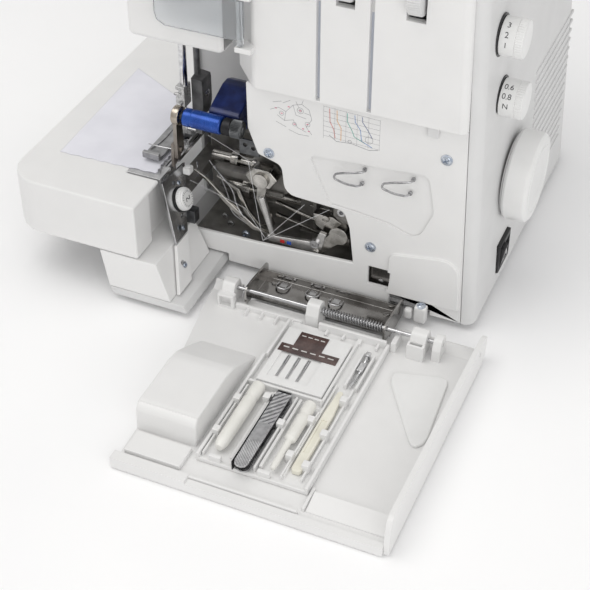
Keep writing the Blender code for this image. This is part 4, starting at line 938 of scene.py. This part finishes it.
settle("catch_ridge", add(block((73.5, -12.2, 28.2), (92.5, -10.2, 29.6), 0.4),
    peg((83, -14.9, 20.5), (83, -15.6, 20.5), 1.7, edge=0.15)), steel, "machine")

# ---- Looper cover ----
# The white cover lies open: a thin shell with a wall at its right, a step at the front, and a hollow
# bulge on the left that clears the machine's arm when it is closed. Ribs stiffen its hinge edge.
bulge = slab([(-102.4, 4.4), (-117.8, 13.9), (-129.8, 20.4), (-136.9, 24.0), (-143.9, 25.25),
    (-186.1, 25.25), (-189.9, 24.1), (-191.8, 21.2), (-192.9, 4.4)], "x", -10.8, 30.3, 0.0)
bulge_edges = [edge for edge in bulge.edges if edge.calc_length() > 3.0 and max(v.co.z for v in edge.verts) > 5.0]
round_off(bulge, bulge_edges, 2.6, 5)
settle("cover_bulge", bulge, warm_white, "looper_cover", 50.0)
ribs = bmesh.new()
blocks((((-4.0, -64.0, 4.5), (45.0, -61.8, 9.0), 0.5), ((58.0, -66.0, 4.5), (106.0, -63.6, 13.5), 0.6),
    ((108.5, -64.5, 4.5), (112.0, -50.0, 13.0), 0.6)), ribs)
for x in (5.0, 16.0, 27.0, 38.0):
    add(ribs, block((x, -70.0, 4.5), (x + 1.6, -62.2, 8.0), 0.4))
for x in (64.0, 76.0, 88.0, 100.0):
    add(ribs, block((x, -71.0, 4.5), (x + 1.6, -64.0, 10.5), 0.4))
blocks((((-8.0, -214.0, 4.6), (30.0, -196.0, 8.6), 1.2), ((36.0, -218.5, 4.6), (108.0, -216.3, 8.2), 0.6),
    ((109.0, -214.0, 4.6), (111.0, -196.0, 7.4), 0.5)), ribs)
settle("cover_ribs", ribs, warm_white, "looper_cover")
boxes = carved(block((119.6, -66.0, 4.6), (131.6, -61.0, 17.0), 0.9),
    block((121.4, -64.8, 8.0), (129.8, -62.2, 19.0), 0.4))
add(boxes, carved(block((-16.4, -66.5, 4.6), (-4.2, -61.0, 15.5), 0.8),
    block((-14.6, -68, 6.4), (-6.2, -62.4, 13.8), 0.4)))
settle("boss_boxes", boxes, warm_white, "looper_cover")
pad = slab([(118.0, -88.0), (118.6, -84.0), (122.0, -82.0), (148.0, -75.4), (152.4, -76.6), (153.8, -81.0),
    (157.6, -130.0), (156.8, -136.6), (153.6, -140.6), (150.4, -140.2), (147.4, -137.0), (120.0, -94.0)],
    "z", 4.6, 7.0, 1.1, 3)
settle("knee_pad_recess", pad, knob_white, "looper_cover")

# ---- Tool tray ----
# A clip-in white tray holds the accessories: a needle case with a dark label, a lint brush and a
# small driver in cream-white handles, pattern-gripped tweezers, a cream needle threader and a hook.
fences = bmesh.new()
for x0, y0, x1, y1, top in ((36.8, -104.0, 38.6, -66.0, 11.5), (86.6, -133.0, 88.4, -66.0, 10.5),
        (37.0, -131.8, 88.0, -130.4, 11.6), (56.8, -199.0, 58.2, -134.0, 11.0),
        (71.6, -199.0, 73.0, -134.0, 11.8), (88.8, -199.0, 90.0, -140.0, 11.2),
        (100.6, -196.0, 102.0, -112.0, 10.2), (37.6, -199.0, 39.0, -134.0, 10.6)):
    add(fences, block((x0, y0, 7.3), (x1, y1, top), 0.4))
for x, y in ((38.4, -150), (38.4, -180), (55.2, -142), (88.2, -150), (88.2, -182), (72.4, -160),
        (100.4, -126), (100.4, -158), (100.4, -186)):
    add(fences, block((x - 2.4, y - 2.6, 7.3), (x + 2.4, y + 2.6, 14.2), 0.7))
for x in (47.0, 79.0):
    add(fences, block((x - 4.0, -201.5, 7.3), (x + 4.0, -198.6, 12.0), 0.6))
settle("tray_fences", fences, warm_white, "looper_cover")

pack = carved(block((41.0, -128.5, 7.9), (86.0, -74.0, 12.0), 0.8),
    block((46.0, -123.0, 11.0), (74.0, -97.0, 14.0), 0.4))
for x in (52.0, 59.0, 66.0):
    pack = carved(pack, block((x - 1.2, -121.0, 9.4), (x + 1.2, -99.0, 14.0), 0.3))
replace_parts(settle("needle_case_body", pack, knob_white, "looper_cover"), "needle_case")
label = finish("needle_label", (0.055, 0.032, 0.030), (0.10, 0.062, 0.056), 0.22, patch=120.0, depth=0.01,
    Coat_Weight=0.5)
card = block((50.8, -91.2, 12.0), (70.6, -76.6, 12.5), 0.15)
add(card, block((42.8, -98.6, 12.0), (83.4, -91.0, 12.5), 0.15))
settle("needle_case_label", card, label, "looper_cover")
light_print = finish("label_print", (0.55, 0.54, 0.52), (0.70, 0.69, 0.67), 0.5, depth=0.003)
bars = bmesh.new()
for number in range(4):
    add(bars, block((52.6 + 4.4 * number, -80.6, 12.47), (55.6 + 4.4 * number, -79.8, 12.55), 0.0))
for number in range(6):
    add(bars, block((45.4 + 6.2 * number, -94.6, 12.47), (49.4 + 6.2 * number, -93.6, 12.55), 0.0))
settle("needle_case_print", bars, light_print, "looper_cover")
shanks = bmesh.new()
for x in (52.0, 59.0, 66.0):
    add(shanks, turned([(0.0, 0.0), (0.6, 0.3), (12.0, 0.45), (14.0, 0.85), (20.5, 0.85), (20.5, 0.0)],
        (x, -120.5, 10.6), (x, -100, 10.6), 20))
settle("spare_needles", shanks, steel, "looper_cover")

ivory = finish("ivory_handle", (0.76, 0.752, 0.71), (0.81, 0.802, 0.765), 0.34, patch=60.0, depth=0.012)
brush = turned([(0.0, 0.0), (0.0, 3.0), (0.6, 3.9), (1.6, 4.4), (12.0, 4.5), (13.0, 3.9), (14.5, 3.9),
    (15.5, 4.5), (54.0, 4.2), (57.5, 3.6), (60.0, 2.2), (60.0, 0.0)], (46.5, -134, 12.7),
    (46.5, -194, 12.7), 56)
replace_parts(settle("lint_brush_handle", brush, ivory, "looper_cover"), "lint_brush")
grip = turned([(0.0, 0.0), (0.0, 2.4), (0.5, 3.6), (1.4, 4.1), (9.0, 4.2), (10.5, 3.4), (12.5, 3.4),
    (14.0, 4.1), (33.0, 3.8), (35.0, 2.2), (57.0, 2.1), (59.6, 1.4), (60.0, 0.0)], (83, -137, 12.4),
    (83, -197, 12.4), 72)
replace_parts(settle("small_driver", grip, ivory, "looper_cover"), "screwdriver")
cream = finish("cream_nylon", (0.755, 0.73, 0.63), (0.81, 0.79, 0.695), 0.4, patch=60.0, depth=0.012)
threader = carved(slab([(92.5, -190), (93.5, -192), (98, -192), (99, -190), (99, -140), (97.5, -119.5),
    (96.5, -118), (94.5, -118), (93.5, -119.5), (92.5, -140)], "z", 7.9, 11.4, 0.7),
    block((94.0, -176, 10.6), (97.4, -146, 13.0), 0.4))
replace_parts(settle("threader_strip", threader, cream, "looper_cover"), "needle_threader")


def gripped_steel():
    """Tweezer steel: coarse slanting ribs at the spring end, plain in the middle, fine knurl at the tips."""
    look = finish("gripped_steel", (0.42, 0.42, 0.43), (0.60, 0.60, 0.61), 0.32, 1.0, patch=200.0,
        depth=0.006)
    tree = look.node_tree
    place = {"Vector": shader_node(tree, "TexCoord").outputs["Object"]}
    along = shader_node(tree, "SeparateXYZ", place).outputs["Y"]
    zones = []
    for low, high, scale, turn in ((-0.166, -0.137, 110.0, 0.7), (-0.204, -0.182, 650.0 / 3.0, -0.8)):
        lay = shader_node(tree, "Mapping", place, Rotation=(0.0, 0.0, turn))
        ridges = shader_node(tree, "TexWave", {"Vector": lay.outputs["Vector"]}, Scale=scale)
        inside = shader_node(tree, "Math", {0: along})
        inside.operation = "COMPARE"
        inside.inputs[1].default_value = (low + high) / 2
        inside.inputs[2].default_value = (high - low) / 2
        zone = shader_node(tree, "Math", {0: inside.outputs["Value"], 1: ridges.outputs["Fac"]})
        zone.operation = "MULTIPLY"
        zones.append(zone.outputs["Value"])
    total = shader_node(tree, "Math", dict(enumerate(zones)))
    total.operation = "ADD"
    relief = shader_node(tree, "Bump", {"Height": total.outputs["Value"]}, Distance=0.25 * MM, Strength=0.8)
    tree.links.new(relief.outputs["Normal"], tree.nodes["Principled BSDF"].inputs["Normal"])
    return look


jaws = slab([(60.5, -201.0), (61.6, -203.8), (63.8, -205.0), (66.2, -205.0), (68.4, -203.8), (69.5, -201.0),
    (69.8, -136.0), (60.0, -136.0)], "z", 14.2, 15.4, 0.25)
add(jaws, slab([(60.5, -200.0), (61.8, -202.4), (65.0, -203.0), (68.2, -202.4), (69.5, -200.0),
    (69.8, -136.0), (60.0, -136.0)], "z", 8.3, 9.5, 0.25))
add(jaws, block((60.0, -138.0, 8.3), (69.8, -135.6, 15.4), 0.4))
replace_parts(settle("tweezer_jaws", jaws, gripped_steel(), "looper_cover"), "tweezers")
edge_trim = block((59.3, -203.0, 8.0), (59.9, -140.0, 15.0), 0.1)
settle("tweezer_edge", edge_trim, oxide, "looper_cover")
hook = wire([(98.4, -110.5, 9.5), (98.8, -104.0, 9.6), (99.0, -92.0, 9.8), (99.2, -86.0, 10.6),
    (99.3, -83.6, 12.4), (99.6, -85.4, 13.8)], 0.9)
add(hook, block((96.8, -96.0, 9.4), (101.2, -88.0, 11.8), 0.5))
add(hook, block((97.6, -83.0, 9.0), (101.0, -79.0, 14.0), 0.6))
settle("small_hook", hook, chrome, "looper_cover")
cradle = block((94.5, -112.0, 7.4), (96.2, -78.0, 11.5), 0.4)
add(cradle, block((102.0, -112.0, 7.4), (103.6, -78.0, 11.5), 0.4))
settle("hook_cradle", cradle, warm_white, "looper_cover")
